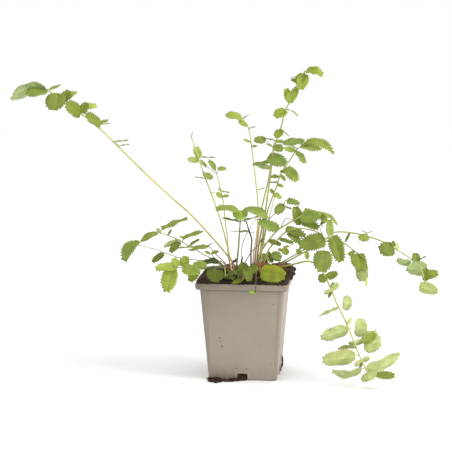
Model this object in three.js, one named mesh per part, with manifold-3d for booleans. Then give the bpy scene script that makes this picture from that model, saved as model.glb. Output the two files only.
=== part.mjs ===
// Potted burnet: a square nursery pot filled with soil, and pinnate fronds that rise from one crown.
// Millimetres, +Z up. The origin is the centre of the pot's underside, and the pot's front faces -Y.
import * as THREE from 'three';
import { mergeVertices } from 'three/addons/utils/BufferGeometryUtils.js';
import Module from 'manifold-3d';

const wasm = await Module();
wasm.setup();

const GAP = 0.3;

const POT = {
  height: 97.5,
  rimWidth: 91,
  rimBottomWidth: 90,
  rimHeight: 6.3,
  bodyWidth: 82.6,
  baseWidth: 67,
  wall: 1.2,
  floor: 1.6,
  rimRadius: 3,
  bodyRadius: 3.5,
  footRound: 2.2,
};

const NOTCH = { width: 10, height: 7, depth: 3.6, frame: 3, proud: 0.7, frameThick: 1.2 };

const SOIL = {
  crown: 102.4,
  edge: 98.7,
  backRise: 3,
  reach: 44.2,
  rightSpill: 1.2,
  crumb: 0.7,
  rings: 6,
  rootDepth: 6,
};

const SPILL = { left: -34, right: 3, reach: 8, height: 3.8, steps: 12 };

const CORNER_STEPS = 4;

const STEM = { sides: 4, step: 18, fewestSteps: 4, holeGap: 0.8, holeReach: 16, stalkRadius: 0.5 };
const BLADE = {
  thickness: 0.7,
  fold: 0.14,
  toothDepth: 0.18,
  toothReach: 0.04,
  neckWidth: 1,
  neckBend: 0.5,
  snap: 3,
};

const COLOURS = {
  pot: 0xa59b8a,
  soil: 0x2f241d,
  leafLight: 0xa0b94d,
  leaf: 0x8ca348,
  leafDark: 0x5f7d35,
  leafPale: 0xb9c97c,
  leafYellow: 0xb7c04a,
};

// The plant was read off in one view of it: a column and a row of that view, in pixels, and a depth in
// millimetres towards the viewer from the pot's axis give a point of a stem or a leaf.
const VIEW = {
  azimuth: 6.5,
  elevation: 8,
  distance: 1500,
  focal: 1516,
  centre: 226,
  aimAside: -19.9,
  aimHeight: 148.2,
};

const VIEW_AXES = viewAxes();

function viewAxes() {
  const azimuth = THREE.MathUtils.degToRad(VIEW.azimuth);
  const elevation = THREE.MathUtils.degToRad(VIEW.elevation);
  const ahead = new THREE.Vector3(Math.sin(azimuth), -Math.cos(azimuth), 0);
  const right = new THREE.Vector3(Math.cos(azimuth), Math.sin(azimuth), 0);
  const back = ahead.clone().multiplyScalar(Math.cos(elevation));
  back.z = Math.sin(elevation);
  const up = back.clone().cross(right);
  const eye = right.clone().multiplyScalar(VIEW.aimAside);
  eye.z += VIEW.aimHeight;
  eye.addScaledVector(back, VIEW.distance);
  return { ahead, right, back, up, eye };
}

function seen(column, row, near) {
  const { ahead, right, back, up, eye } = VIEW_AXES;
  const ray = back.clone().negate();
  ray.addScaledVector(right, (column - VIEW.centre) / VIEW.focal);
  ray.addScaledVector(up, (VIEW.centre - row) / VIEW.focal);
  const travel = (near - eye.dot(ahead)) / ray.dot(ahead);
  return eye.clone().addScaledVector(ray, travel);
}

// A leaflet runs from its base to its tip, each a column and a row. The tip is `near` mm nearer to the
// viewer than the base. The upper face turns from the viewer, at 0 degrees, to the sky, at 90, and on to the
// back. The width, the height of the arch and the sideways bow of the rib are shares of the length. It is
// widest at the share `widest` of its length.
function leaf(base, tip, near = 0, turn = 45, width = 0.78, arch = 0.03, bow = 0, widest = 0.44) {
  return { base, tip, near, turn, width, arch, bow, widest };
}

// A frond's root is a column and a depth on the soil. Its stem passes through the points of its route,
// where a third number is the depth there, and the other depths lie evenly between those given.
const FRONDS = [
  {
    name: 'frond_long_left',
    root: [237, -10],
    radius: 0.85,
    colour: COLOURS.leaf,
    route: [[227.3, 256], [205.5, 230.9], [188.6, 212.9], [177.7, 203], [152.5, 180],
      [131.4, 159.6], [100.3, 129], [83, 115.2], [64.2, 103], [47.3, 89.2, -30]],
    leaflets: [
      leaf([46.5, 88.2], [12, 99.8], 6, 115, 0.64, 0.16),
      leaf([47, 89.3], [28, 95], 10, 40, 0.82, 0.08),
      leaf([48.5, 90.5], [60, 84.5], -12, 50, 0.5, 0),
      leaf([58, 93], [53, 110], 9, 12, 1.0),
      leaf([63.5, 101], [69, 90.5], -4, 25, 0.85),
      leaf([66, 100, -1], [75.5, 91.5], -9, 50, 0.85),
      leaf([82, 114.5], [66, 104.5], 13, 25, 0.72),
      leaf([82.5, 114], [87, 102.5], -3, 25, 0.8),
      leaf([86, 107, -2], [96.5, 105.5], -6, 30, 0.62),
      leaf([100.5, 124.3, 1], [85.5, 115.5], 10, 42, 0.72),
      leaf([99.5, 124, -1], [108, 119.5], -8, 50, 0.6, 0),
      leaf([101.5, 124, -2], [110, 123.3], -12, 75, 0.35, 0),
      leaf([115.5, 140.6, 1], [128, 140.3], 5, 74, 0.3, 0),
      leaf([119.5, 144, -1], [129, 144.2], -4, 74, 0.34, 0),
    ],
  },
  {
    name: 'frond_tall',
    root: [254.5, -8],
    radius: 0.8,
    colour: COLOURS.leafLight,
    route: [[255.7, 253], [258, 236], [261.6, 209.7], [268.8, 178.6], [273.4, 150], [281, 127.6],
      [286.5, 108], [298.8, 89.2], [304.9, 71, 10]],
    leaflets: [
      leaf([304.3, 71.2], [322.5, 75.5], 4, 40, 0.62, 0.24),
      leaf([304, 72.5], [300.8, 89.5], 12, 12, 0.6),
      leaf([303.8, 73.5], [297, 83.5], 6, 25, 0.72),
      leaf([303, 76], [291, 77], -10, 70, 0.3, 0),
      leaf([301.5, 82], [291, 79.7], 3, 45, 0.6, 0),
      leaf([290, 88.8, 5], [290.8, 103], 5, 10, 0.9, 0.05, 0, 0.3),
      leaf([284.8, 108.5], [275.3, 117.3], 9, 25, 0.72),
      leaf([287, 108.5], [298, 116.3], -3, 80, 0.3, 0.12),
      leaf([280, 128.6], [277.3, 138], 9, 20, 0.74),
      leaf([281.5, 129], [289.5, 136.3], -3, 80, 0.28, 0),
    ],
  },
  {
    name: 'frond_upper_left',
    root: [234.4, 9],
    radius: 0.7,
    colour: COLOURS.leafPale,
    route: [[230.2, 265.8], [226.5, 244.5], [217, 211.2], [205, 178], [195, 148],
      [191.4, 137, -45]],
    leaflets: [
      leaf([197, 158.3], [196.3, 146.8], -12, 15, 0.52),
      leaf([199, 160.3], [187.8, 160], 4, 40, 0.7),
      leaf([199.5, 157.3, -1], [214.5, 157.4], -4, 78, 0.3, 0),
      leaf([204.6, 173.6], [212.3, 179], 8, 25, 0.6),
      leaf([206, 179], [195, 177.3], 2, 80, 0.35, 0.05),
    ],
  },
  {
    name: 'frond_left_of_centre',
    root: [235, 4],
    radius: 0.65,
    colour: COLOURS.leaf,
    route: [[228.8, 252], [227.2, 236], [225.4, 222.1], [223.7, 204.4], [222.3, 196],
      [220, 186.6], [216.5, 173.4, -70]],
    leaflets: [
      leaf([216, 169.8], [208.3, 160.8], 5, 45, 0.58, 0.05),
      leaf([217.5, 169.5], [226.2, 168.3], -4, 40, 0.6, 0.05),
      leaf([206.8, 166.8, 3], [199.6, 160.3], 3, 50, 0.55, 0),
      leaf([222.3, 190.6], [230.5, 192.8], -3, 70, 0.45, 0),
    ],
  },
  {
    name: 'frond_umbrella',
    root: [235.9, 14.5],
    radius: 0.95,
    colour: COLOURS.leaf,
    route: [[236.7, 264.6], [238.5, 247.4], [239.6, 230.2], [240.2, 222.1], [240.3, 217.5, 28]],
    leaflets: [
      leaf([240.2, 209.8, -2], [240.2, 219.6], 6, 0, 1.34, 0.02, 0, 0.4),
      leaf([239.3, 211.8], [216.3, 209.8], 3, 68, 0.72, 0.12),
      leaf([242, 211], [266.8, 219], 9, 58, 0.56, 0.2),
      leaf([239.5, 221], [222.3, 218], 7, 76, 0.45, 0),
      leaf([240.8, 221], [258, 216.3], -9, 80, 0.35, 0),
      leaf([239.3, 230.3], [230, 231.3], -4, 84, 0.25, 0),
    ],
  },
  {
    name: 'frond_purple_stem',
    root: [251, 1],
    radius: 0.65,
    colour: COLOURS.leafDark,
    route: [[251, 250.3], [251.7, 239.4], [248.8, 230.2], [246.3, 221.5, 6]],
    leaflets: [
      leaf([249, 231.8], [240.3, 232], 3, 60, 0.45, 0.05),
    ],
  },
  {
    name: 'frond_thin_centre',
    root: [241, 7],
    radius: 0.5,
    colour: COLOURS.leafPale,
    route: [[241.3, 258.9], [243, 242.8], [250, 228], [255.5, 220, -12]],
    leaflets: [
    ],
  },
  {
    name: 'frond_top_centre',
    root: [253, -15],
    radius: 0.65,
    colour: COLOURS.leafLight,
    route: [[253.4, 256], [257.2, 230], [258.1, 207.7], [255.5, 178.6], [252.2, 151],
      [248.5, 128], [243, 118.5, -60]],
    leaflets: [
      leaf([243, 117.5], [226, 116], 4, 55, 0.84, 0.1),
      leaf([248, 126.5], [239, 121.5], 6, 50, 0.85, 0.04),
      leaf([251, 142], [243.5, 140], 4, 62, 0.8, 0),
      leaf([257, 191], [265, 187.5], -4, 80, 0.4, 0),
    ],
  },
  {
    name: 'frond_beside_tall',
    root: [256.3, -2],
    radius: 0.8,
    colour: COLOURS.leafDark,
    route: [[258.8, 245], [265.2, 212.8], [267.8, 193.9], [270.3, 177.6], [273.3, 146.5, 24]],
    leaflets: [
      leaf([266, 140.3, -2], [254.3, 139.8], -2, 25, 0.68),
      leaf([276, 140.5, -1], [264.5, 138], -2, 70, 0.3, 0),
      leaf([274.5, 144.5], [283, 150], 6, 20, 0.75),
      leaf([283, 143.8, -2], [304.5, 141.5], -3, 50, 0.5, 0.05),
      leaf([268.2, 156.8], [285.5, 163.2], 8, 18, 0.7),
      leaf([270.3, 161.8], [252.8, 164.5], -4, 60, 0.34, 0.03),
      leaf([270.3, 168.3], [256.5, 164.8], -2, 150, 0.36, 0),
    ],
  },
  {
    name: 'frond_right_top',
    root: [257.6, 5],
    radius: 0.75,
    colour: COLOURS.leaf,
    route: [[266.7, 214.8], [272.3, 197.4], [277, 185.7], [280, 175.5], [287.7, 163.3],
      [297.3, 148.7, 48]],
    leaflets: [
      leaf([304.5, 143.3, 2], [333.3, 154], 4, 32, 0.28, 0.16, 0.14, 0.35),
      leaf([300.5, 146], [321.3, 149.8], 13, 22, 0.34, 0.05),
      leaf([297, 148.3], [290.5, 144.8], -6, 60, 0.3, 0),
      leaf([297, 151], [284.5, 149.3], 6, 35, 0.55),
      leaf([297, 150.5], [304.3, 163.3], 8, 40, 0.55, 0.06),
      leaf([286, 166.3], [297.3, 180.8], 6, 15, 0.6),
      leaf([279, 175.5], [270.8, 177.3], 3, 40, 0.55, 0.1),
      leaf([274, 193.5], [281, 198.5], 3, 30, 0.65, 0),
    ],
  },
  {
    name: 'frond_pale_stem',
    root: [259, 9],
    radius: 0.5,
    colour: COLOURS.leafPale,
    route: [[264.5, 238], [269.8, 215.3], [272.3, 206], [274.4, 197.5, 16]],
    leaflets: [
    ],
  },
  {
    name: 'frond_young_right',
    root: [259.8, 13],
    radius: 0.5,
    colour: COLOURS.leafDark,
    route: [[263.5, 238], [270, 218.5], [276, 213], [282, 206.5], [286, 200, 30]],
    leaflets: [
      leaf([286.3, 199.5], [299.5, 204], 3, 30, 0.52, 0.03, 0, 0.34),
      leaf([285.3, 205], [276.3, 213.8], 6, 20, 0.72),
    ],
  },
  {
    name: 'frond_right_upper',
    root: [256, 16],
    radius: 0.75,
    colour: COLOURS.leaf,
    route: [[258.5, 257], [264.9, 245.7], [276.4, 231.3], [282.7, 226.7], [292.4, 221],
      [306, 214], [317, 211.5], [322.5, 212.5, 40]],
    leaflets: [
      leaf([321.5, 214.5], [336.8, 225], 4, 60, 0.42, 0.12, 0, 0.3),
      leaf([299.5, 225.3], [295.5, 206.8], -6, 15, 0.52),
      leaf([317.5, 214.3], [304.8, 208.3], -10, 30, 0.4, 0),
      leaf([300, 218], [320.5, 216.5], 12, 15, 0.55),
      leaf([301, 220.8, -2], [318.5, 227.8], 8, 20, 0.44),
      leaf([320.3, 213.5], [325.8, 222.5], -4, 20, 0.6),
      leaf([280.8, 228.6], [259, 221.3], 8, 20, 0.42, 0.02, 0.05),
      leaf([268, 245.3], [260, 244.6], 3, 70, 0.3, 0),
    ],
  },
  {
    name: 'frond_right_middle',
    root: [262, 21],
    radius: 0.7,
    colour: COLOURS.leafDark,
    route: [[268.5, 250], [276, 241.5], [285.3, 232.3], [297, 228.5], [310, 229.8], [319.3, 233],
      [325.6, 238.8, 58]],
    leaflets: [
      leaf([285.5, 228.5], [305.3, 235.8], 2, 25, 0.4),
      leaf([286, 231], [300.5, 243], 6, 25, 0.45),
      leaf([326, 238], [299.5, 246.2], 6, 12, 0.56, 0.02),
      leaf([323.5, 250.3, 1], [321.8, 271.8], 3, 8, 0.86),
      leaf([332.5, 236, -4], [341, 260], 3, 12, 0.52),
      leaf([330, 236], [329.3, 219.8], -5, 20, 0.47),
      leaf([268.5, 240.3], [281, 245], 3, 35, 0.42),
      leaf([279.5, 240.8], [292.5, 243], 3, 50, 0.45, 0),
    ],
  },
  {
    name: 'frond_long_right',
    root: [268, -22],
    radius: 0.75,
    colour: COLOURS.leaf,
    route: [[283, 263.5], [297.6, 255.8], [312, 248], [325, 240], [333.8, 232.6], [350.6, 232.7],
      [370.5, 237.2], [384.3, 242.3], [397, 249.8], [418, 265], [425.4, 282, 12]],
    leaflets: [
      leaf([419, 286.3], [437.8, 291.5], 6, 152, 0.66, 0.02),
      leaf([425.3, 282], [426, 268.3], -3, 20, 0.5),
      leaf([426, 275], [437.8, 272.8], -4, 25, 0.64),
      leaf([427, 269.5, -3], [406.8, 268.3], 3, 155, 0.72, 0.02, 0, 0.36),
      leaf([415.5, 266], [415.3, 252.8], -5, 15, 0.8),
      leaf([411, 262.5], [397.3, 259], 4, 150, 0.48, 0, 0.14),
      leaf([419, 259.5], [426.3, 256.3], -5, 70, 0.35, 0),
      leaf([396.3, 248.5], [379, 250], 8, 15, 0.85),
      leaf([370.3, 236.5], [358.5, 238.5], 6, 15, 0.62),
      leaf([350, 233], [345.2, 242], 3, 60, 0.42, 0),
      leaf([301, 256.3], [297.5, 248.8], -3, 15, 0.85, 0),
    ],
  },
  {
    name: 'frond_crumpled',
    root: [266, -4],
    radius: 0.55,
    colour: COLOURS.leaf,
    route: [[281.5, 262.5], [305, 249.5], [322, 243.5], [333, 239], [344.5, 243.4], [355.7, 252],
      [364, 259], [368, 270], [367.5, 277, 30]],
    leaflets: [
      leaf([356.6, 251.6], [361, 271], 8, 15, 0.84, 0.03, 0, 0.32),
      leaf([364.5, 255.5, 1], [366, 270.5], 0, 20, 0.4),
      leaf([361, 266, -2], [362.3, 281.3], 0, 160, 0.76, 0.02),
      leaf([367.3, 278], [366, 286.5], 2, 150, 0.34, 0),
    ],
  },
  {
    name: 'frond_hanging_right',
    root: [270, -10],
    radius: 0.85,
    colour: COLOURS.leafPale,
    route: [[283, 266.8], [296.5, 263.5], [308, 261.2], [316, 264], [323, 272.2], [330.9, 288.7],
      [336.8, 302.8], [347, 324.4], [355, 344.2], [361.7, 360.8], [367.4, 371.6, 64]],
    leaflets: [
      leaf([323.5, 272.3], [321.5, 282.8], 5, 15, 0.82),
      leaf([326.3, 277.5], [337, 273], -4, 25, 0.62),
      leaf([331, 289.5], [338.8, 284.3], -3, 150, 0.9, 0),
      leaf([342.8, 303, -3], [352.2, 303], -12, 180, 0.94, 0.02),
      leaf([337.3, 307.2], [319.5, 315.8], 3, 118, 0.36, 0),
      leaf([354.8, 327.6, -2], [367.2, 328], -12, 180, 0.98, 0.02),
      leaf([347.2, 329], [321.3, 337.8], 5, 155, 0.48, 0.02),
      leaf([363.3, 343.4, -2], [380.3, 342.6], -13, 180, 0.94, 0.02),
      leaf([363.5, 341, -1], [374.5, 334], -8, 30, 0.36, 0),
      leaf([375, 338, -9], [375.6, 328.8], 0, 150, 0.3, 0),
      leaf([356.3, 347.3], [338, 349], 2, 120, 0.5, 0.08),
      leaf([355.8, 356.3, 3], [323.3, 360.3], 6, 150, 0.54, 0.02),
      leaf([362, 361], [370, 357.8], -2, 150, 0.72, 0),
      leaf([366.8, 368.8], [399.3, 353.3], -8, 148, 0.38, 0, -0.1, 0.36),
      leaf([362, 369.3], [333, 370.3], 5, 150, 0.28, 0, 0.2),
      leaf([369.5, 371], [369.8, 380.6], 13, 172, 1.15, 0.02),
      leaf([377, 375.8, 6], [394.7, 375], 3, 30, 0.45, 0),
    ],
  },
  {
    name: 'frond_left_upper',
    root: [229.5, 4],
    radius: 0.65,
    colour: COLOURS.leaf,
    route: [[218, 262], [203.6, 254.4], [194.4, 248.8], [186.7, 244.7], [180.5, 240.8],
      [167.3, 235], [158.5, 232.5, -12]],
    leaflets: [
      leaf([158.3, 231.5], [141.5, 242.8], 4, 56, 0.58, 0.08),
      leaf([161.5, 230], [186.5, 218.8], -5, 62, 0.38, 0.02, 0, 0.28),
      leaf([184.8, 240], [203, 232], -4, 58, 0.38, 0.04),
      leaf([180.8, 240.8], [170.5, 252.3], 8, 25, 0.48),
      leaf([178, 241.3], [164.3, 246.8], 3, 150, 0.34, 0.02),
      leaf([187.8, 246], [199.3, 239.3], -3, 55, 0.36),
      leaf([196, 247.5], [188.3, 250.3], 4, 55, 0.5, 0),
    ],
  },
  {
    name: 'frond_left_lower',
    root: [231, -10],
    radius: 0.5,
    colour: COLOURS.leaf,
    route: [[214, 262.5], [192, 259.5], [178, 257.5], [170, 254.5], [164, 252.7], [158.2, 250],
      [150, 248], [138.7, 245, -32]],
    leaflets: [
      leaf([139.5, 241], [125, 261], 7, 30, 0.5, 0.03, -0.2, 0.5),
      leaf([164, 254], [152.8, 262.8], 5, 30, 0.45),
    ],
  },
  {
    name: 'frond_grey_stem',
    root: [230, -16],
    radius: 0.5,
    colour: COLOURS.leafDark,
    route: [[224.5, 262.5], [215.3, 253.4], [208.2, 245.2, -34]],
    leaflets: [
      leaf([208.3, 245.4], [195.3, 247.3], 3, 55, 0.8, 0.04),
      leaf([193.5, 246.3, 1], [178, 248], 2, 75, 0.3, 0),
    ],
  },
  {
    name: 'frond_small_left',
    root: [230.5, 12],
    radius: 0.5,
    colour: COLOURS.leaf,
    route: [[222, 264], [214.5, 257.6], [210.9, 253.8, 18]],
    leaflets: [
    ],
  },
  {
    name: 'frond_dark_left',
    root: [232, 16],
    radius: 0.5,
    colour: COLOURS.leafDark,
    route: [[226.5, 266], [220.5, 260.8, 24]],
    leaflets: [
      leaf([220.3, 260.8], [203.6, 261.4], 6, 62, 0.72, 0.05),
    ],
  },
  {
    name: 'frond_bright_left',
    root: [230, 21],
    radius: 0.6,
    colour: COLOURS.leafLight,
    route: [[223.5, 267.8], [209, 266.8], [195, 267.5], [180, 267.8], [176, 267.6, 56]],
    leaflets: [
      leaf([173, 268], [165.5, 291.3], 7, 10, 0.64, 0.02, 0, 0.38),
      leaf([177, 266.5], [156, 269.5], 9, 30, 0.42, 0.02, -0.07),
      leaf([178.5, 267.3], [173.5, 258.3], -4, 20, 0.8),
      leaf([183.5, 268], [186, 256.2], -5, 15, 0.85),
      leaf([181, 269], [199, 272.5], 6, 20, 0.6),
      leaf([207.5, 267.4], [193, 264.5], -5, 30, 0.62),
      leaf([199.5, 268.5], [190, 281.3], 5, 20, 0.62),
    ],
  },
  {
    name: 'leaf_round_front',
    root: [232.5, 26],
    radius: 0.5,
    colour: COLOURS.leaf,
    route: [[224, 268], [214.5, 268.6, 38]],
    leaflets: [
      leaf([214, 268.4], [213.6, 281.8], 12, 0, 1.12, 0.03, 0, 0.38),
    ],
  },
  {
    name: 'leaves_centre_front',
    root: [247.5, 24],
    radius: 0.55,
    colour: COLOURS.leafDark,
    route: [[246.5, 268], [246, 265.3, 40]],
    leaflets: [
      leaf([243.8, 263.2], [239.6, 279.2], -1, 15, 0.46, 0.04),
      leaf([249.1, 263.3], [248.8, 281], 3.2, 8, 0.66, 0.04),
    ],
  },
  {
    name: 'leaf_yellow_front',
    root: [243, 40.5],
    radius: 0.5,
    colour: COLOURS.leafYellow,
    route: [[243.3, 278.3, 44.5], [243.5, 277.3, 47]],
    leaflets: [
      leaf([243.8, 278.6], [232.3, 284.6], 7, 30, 0.48, 0.02),
    ],
  },
  {
    name: 'leaf_yellow_right',
    root: [256, 25],
    radius: 0.55,
    colour: COLOURS.leafYellow,
    route: [[256.5, 268.5], [260, 268.5, 38]],
    leaflets: [
      leaf([260, 270.5], [284.5, 277.5], 8, 20, 0.68, 0.02),
    ],
  },
  {
    name: 'stalk_over_rim',
    root: [255.2, 30],
    radius: 0.5,
    colour: COLOURS.leafLight,
    route: [[255.8, 272.5], [256, 277.5, 47.5], [255.6, 285, 48.8], [255.3, 292, 49.5]],
    leaflets: [
    ],
  },
  {
    name: 'frond_low_right',
    root: [265, -8],
    radius: 0.6,
    colour: COLOURS.leafDark,
    route: [[267.5, 262], [270, 254, -10]],
    leaflets: [
      leaf([270, 254], [260.3, 259.8], 5, 32, 0.85, 0.1),
      leaf([270.2, 254], [281.3, 258.8], 4, 32, 0.82, 0.1),
    ],
  },
  {
    name: 'frond_yellow_right',
    root: [263, -14],
    radius: 0.45,
    colour: COLOURS.leafYellow,
    route: [[274, 259], [283.5, 247.5, -20]],
    leaflets: [
      leaf([283.5, 247.5], [286.5, 255], 4, 25, 1.0, 0.05),
    ],
  },
];

function solid(geometry) {
  const plain = geometry.clone();
  plain.deleteAttribute('normal');
  plain.deleteAttribute('uv');
  const merged = mergeVertices(plain, 1e-4);
  const body = new wasm.Mesh({
    numProp: 3,
    vertProperties: new Float32Array(merged.attributes.position.array),
    triVerts: new Uint32Array(merged.index.array),
  });
  return new wasm.Manifold(body);
}

// The outer body alone, without loose scraps or sealed hollows.
function largest(body) {
  return body.decompose().reduce((best, part) => (part.volume() > best.volume() ? part : best));
}

function geometryOf(body) {
  const { vertProperties, triVerts } = body.getMesh();
  const geometry = new THREE.BufferGeometry();
  geometry.setAttribute('position', new THREE.BufferAttribute(new Float32Array(vertProperties), 3));
  geometry.setIndex(new THREE.BufferAttribute(new Uint32Array(triVerts), 1));
  geometry.computeVertexNormals();
  return geometry;
}

function indexed(points, faces) {
  const geometry = new THREE.BufferGeometry();
  geometry.setFromPoints(points);
  geometry.setIndex(faces.flat());
  return geometry;
}

function mesh(name, geometry, colour, roughness) {
  geometry.computeVertexNormals();
  const material = new THREE.MeshStandardMaterial({ color: colour, roughness, metalness: 0 });
  const piece = new THREE.Mesh(geometry, material);
  piece.name = name;
  return piece;
}

// Closed skin through rings of equal length, with a centre point at each end.
function loft(rings, firstCentre, lastCentre) {
  const count = rings[0].length;
  const points = [firstCentre, ...rings.flat(), lastCentre];
  const last = points.length - 1;
  const faces = [];
  for (let side = 0; side < count; side += 1) {
    const next = (side + 1) % count;
    faces.push([0, 1 + next, 1 + side]);
    for (let ring = 0; ring < rings.length - 1; ring += 1) {
      const low = 1 + ring * count;
      const high = low + count;
      faces.push([low + side, low + next, high + next], [low + side, high + next, high + side]);
    }
    faces.push([last - count + side, last - count + next, last]);
  }
  return indexed(points, faces);
}

function roundedSquare(half, radius, height) {
  const points = [];
  for (let corner = 0; corner < 4; corner += 1) {
    const start = (corner * Math.PI) / 2;
    const middle = start + Math.PI / 4;
    const reach = (half - radius) * Math.SQRT2;
    for (let step = 0; step <= CORNER_STEPS; step += 1) {
      const angle = start + (step / CORNER_STEPS) * (Math.PI / 2);
      const x = Math.cos(middle) * reach + Math.cos(angle) * radius;
      const y = Math.sin(middle) * reach + Math.sin(angle) * radius;
      points.push(new THREE.Vector3(x, y, height));
    }
  }
  return points;
}

function box(width, depth, height, x, y, z) {
  return new THREE.BoxGeometry(width, depth, height).translate(x, y, z);
}

function halfWidthAt(height) {
  const bodyTop = POT.height - POT.rimHeight;
  return THREE.MathUtils.lerp(POT.baseWidth, POT.bodyWidth, height / bodyTop) / 2;
}

function potShell() {
  const { height, rimWidth, rimBottomWidth, rimHeight, wall, floor, rimRadius, bodyRadius, footRound } = POT;
  const bodyTop = height - rimHeight;
  const rings = [
    roundedSquare(halfWidthAt(0) - footRound, bodyRadius - footRound, 0),
    roundedSquare(halfWidthAt(0) - footRound * 0.3, bodyRadius, footRound * 0.3),
    roundedSquare(halfWidthAt(footRound), bodyRadius, footRound),
    roundedSquare(halfWidthAt(bodyTop), bodyRadius, bodyTop),
    roundedSquare(rimBottomWidth / 2 - 0.4, rimRadius, bodyTop),
    roundedSquare(rimBottomWidth / 2, rimRadius, bodyTop + 0.5),
    roundedSquare(rimWidth / 2, rimRadius, height - 0.6),
    roundedSquare(rimWidth / 2 - 0.5, rimRadius, height),
    roundedSquare(rimWidth / 2 - wall - 0.3, rimRadius - wall, height),
    roundedSquare(rimBottomWidth / 2 - wall, rimRadius - wall, bodyTop + wall + 0.4),
    roundedSquare(halfWidthAt(bodyTop) - wall, bodyRadius - wall, bodyTop - wall),
    roundedSquare(halfWidthAt(floor) - wall, bodyRadius - wall, floor),
  ];
  return loft(rings, new THREE.Vector3(0, 0, 0), new THREE.Vector3(0, 0, floor));
}

function notchFrame() {
  const { width, height, frame, proud, frameThick } = NOTCH;
  const y = -halfWidthAt(height / 2) + frameThick / 2 - proud;
  const lean = (halfWidthAt(height) - halfWidthAt(0)) / height;
  const outer = width + 2 * frame;
  const tall = height + frame * 0.5;
  const plate = solid(box(outer, frameThick, tall - POT.footRound, 0, 0, (tall + POT.footRound) / 2));
  const tilt = THREE.MathUtils.radToDeg(Math.atan(lean));
  return plate.rotate([tilt, 0, 0]).translate([0, y + (lean * height) / 2, 0]);
}

function pot() {
  const { width, height, depth } = NOTCH;
  let body = solid(potShell());
  for (let side = 0; side < 4; side += 1) {
    body = body.add(notchFrame().rotate([0, 0, side * 90]));
  }
  const cutterReach = depth + NOTCH.proud + 1;
  const cutterY = -halfWidthAt(0) - NOTCH.proud - 1 + cutterReach / 2;
  const cutter = solid(box(width, cutterReach, height + 1, 0, cutterY, (height - 1) / 2));
  for (let side = 0; side < 4; side += 1) {
    body = body.subtract(cutter.rotate([0, 0, side * 90]));
  }
  return body;
}

function soilHeight(x, y) {
  const half = POT.rimWidth / 2;
  const share = Math.min(1, Math.max(Math.abs(x), Math.abs(y)) / half);
  const backRight = Math.max(0, x + y) / (2 * half);
  return THREE.MathUtils.lerp(SOIL.edge, SOIL.crown, 1 - share * share) + SOIL.backRise * backRight;
}

function soilRing(share) {
  return roundedSquare(1, 0.16, 0).map(({ x, y }) => {
    const angle = Math.atan2(y, x);
    const half = share * (SOIL.reach + Math.max(0, x) * SOIL.rightSpill + 0.6 * Math.sin(5 * angle + 0.6));
    const crumb = SOIL.crumb * Math.abs(Math.sin(7 * angle + 9 * share) * Math.cos(3 * angle + 14 * share));
    return new THREE.Vector3(x * half, y * half, soilHeight(x * half, y * half) + crumb);
  });
}

function soilMound() {
  const { wall, floor, height, rimHeight, rimRadius, bodyRadius, rimBottomWidth, rimWidth } = POT;
  const bodyTop = height - rimHeight;
  const inset = wall + GAP;
  const rings = [
    roundedSquare(halfWidthAt(floor) - inset, bodyRadius - inset, floor + GAP),
    roundedSquare(halfWidthAt(bodyTop) - inset, bodyRadius - inset, bodyTop - wall),
    roundedSquare(rimBottomWidth / 2 - inset - 0.1, rimRadius - inset, bodyTop + wall + 0.4),
    roundedSquare(rimWidth / 2 - inset - 0.4, rimRadius - inset, height + GAP),
    roundedSquare(rimWidth / 2 - 1, rimRadius, height + GAP + 0.1),
  ];
  for (let ring = 0; ring < SOIL.rings; ring += 1) {
    rings.push(soilRing(1 - ring / SOIL.rings));
  }
  return loft(rings, new THREE.Vector3(0, 0, floor + GAP), new THREE.Vector3(0, 0, SOIL.crown));
}

// Every stem stands in a plain hole, a little wider than the stem.
function soil() {
  let body = solid(soilMound());
  for (const frond of FRONDS) {
    const stem = stemKnots(frond);
    const spacing = stem[0].distanceTo(stem[1]);
    const knots = stem.slice(0, 1 + Math.ceil(STEM.holeReach / spacing));
    const downward = knots[0].clone().sub(knots[1]).normalize();
    knots[0].addScaledVector(downward, GAP * 2);
    body = body.subtract(solid(tube(knots, frond.radius + STEM.holeGap)));
  }
  return body;
}

// Soil washed out of the front opening lies along the pot's foot.
function spill() {
  const { left, right, reach, height, steps } = SPILL;
  const rings = [];
  for (let step = 1; step < steps; step += 1) {
    const along = step / steps;
    const x = THREE.MathUtils.lerp(left, right, along);
    const wide = reach * Math.sqrt(Math.sin(Math.PI * along)) * (0.7 + 0.3 * Math.cos(9 * along + 1));
    const tall = height * Math.sqrt(Math.sin(Math.PI * along)) * (0.65 + 0.35 * Math.cos(7 * along));
    const corner = halfWidthAt(0) - POT.bodyRadius;
    const setBack = Math.max(0, -x - corner);
    const rounding = Math.sqrt(POT.bodyRadius ** 2 - Math.min(setBack, 0.94 * POT.bodyRadius) ** 2);
    const foot = halfWidthAt(0) - POT.bodyRadius + rounding;
    const y = -foot - GAP - NOTCH.proud - 0.2;
    rings.push([
      new THREE.Vector3(x, y - 0.4, tall),
      new THREE.Vector3(x, y - wide * 0.3, tall * 0.9),
      new THREE.Vector3(x, y - wide * 0.75, tall * 0.45),
      new THREE.Vector3(x, y - wide, 0.1),
      new THREE.Vector3(x, y, 0.1),
    ]);
  }
  const first = rings[0][0].clone().add(new THREE.Vector3(-1.5, -1, 0.1));
  const last = rings[rings.length - 1][0].clone().add(new THREE.Vector3(1.5, -1, 0.1));
  return loft(rings, first, last);
}

// Path of straight lengths between knots.
class KnotPath extends THREE.Curve {
  constructor(knots) {
    super();
    this.knots = knots;
  }

  getPoint(share) {
    const place = THREE.MathUtils.clamp(share, 0, 1) * (this.knots.length - 1);
    const index = Math.min(Math.floor(place), this.knots.length - 2);
    return this.knots[index].clone().lerp(this.knots[index + 1], place - index);
  }

  getPointAt(share) {
    return this.getPoint(share);
  }

  getTangentAt(share) {
    const small = 1e-3;
    return this.getPoint(share + small).sub(this.getPoint(share - small)).normalize();
  }
}

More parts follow.
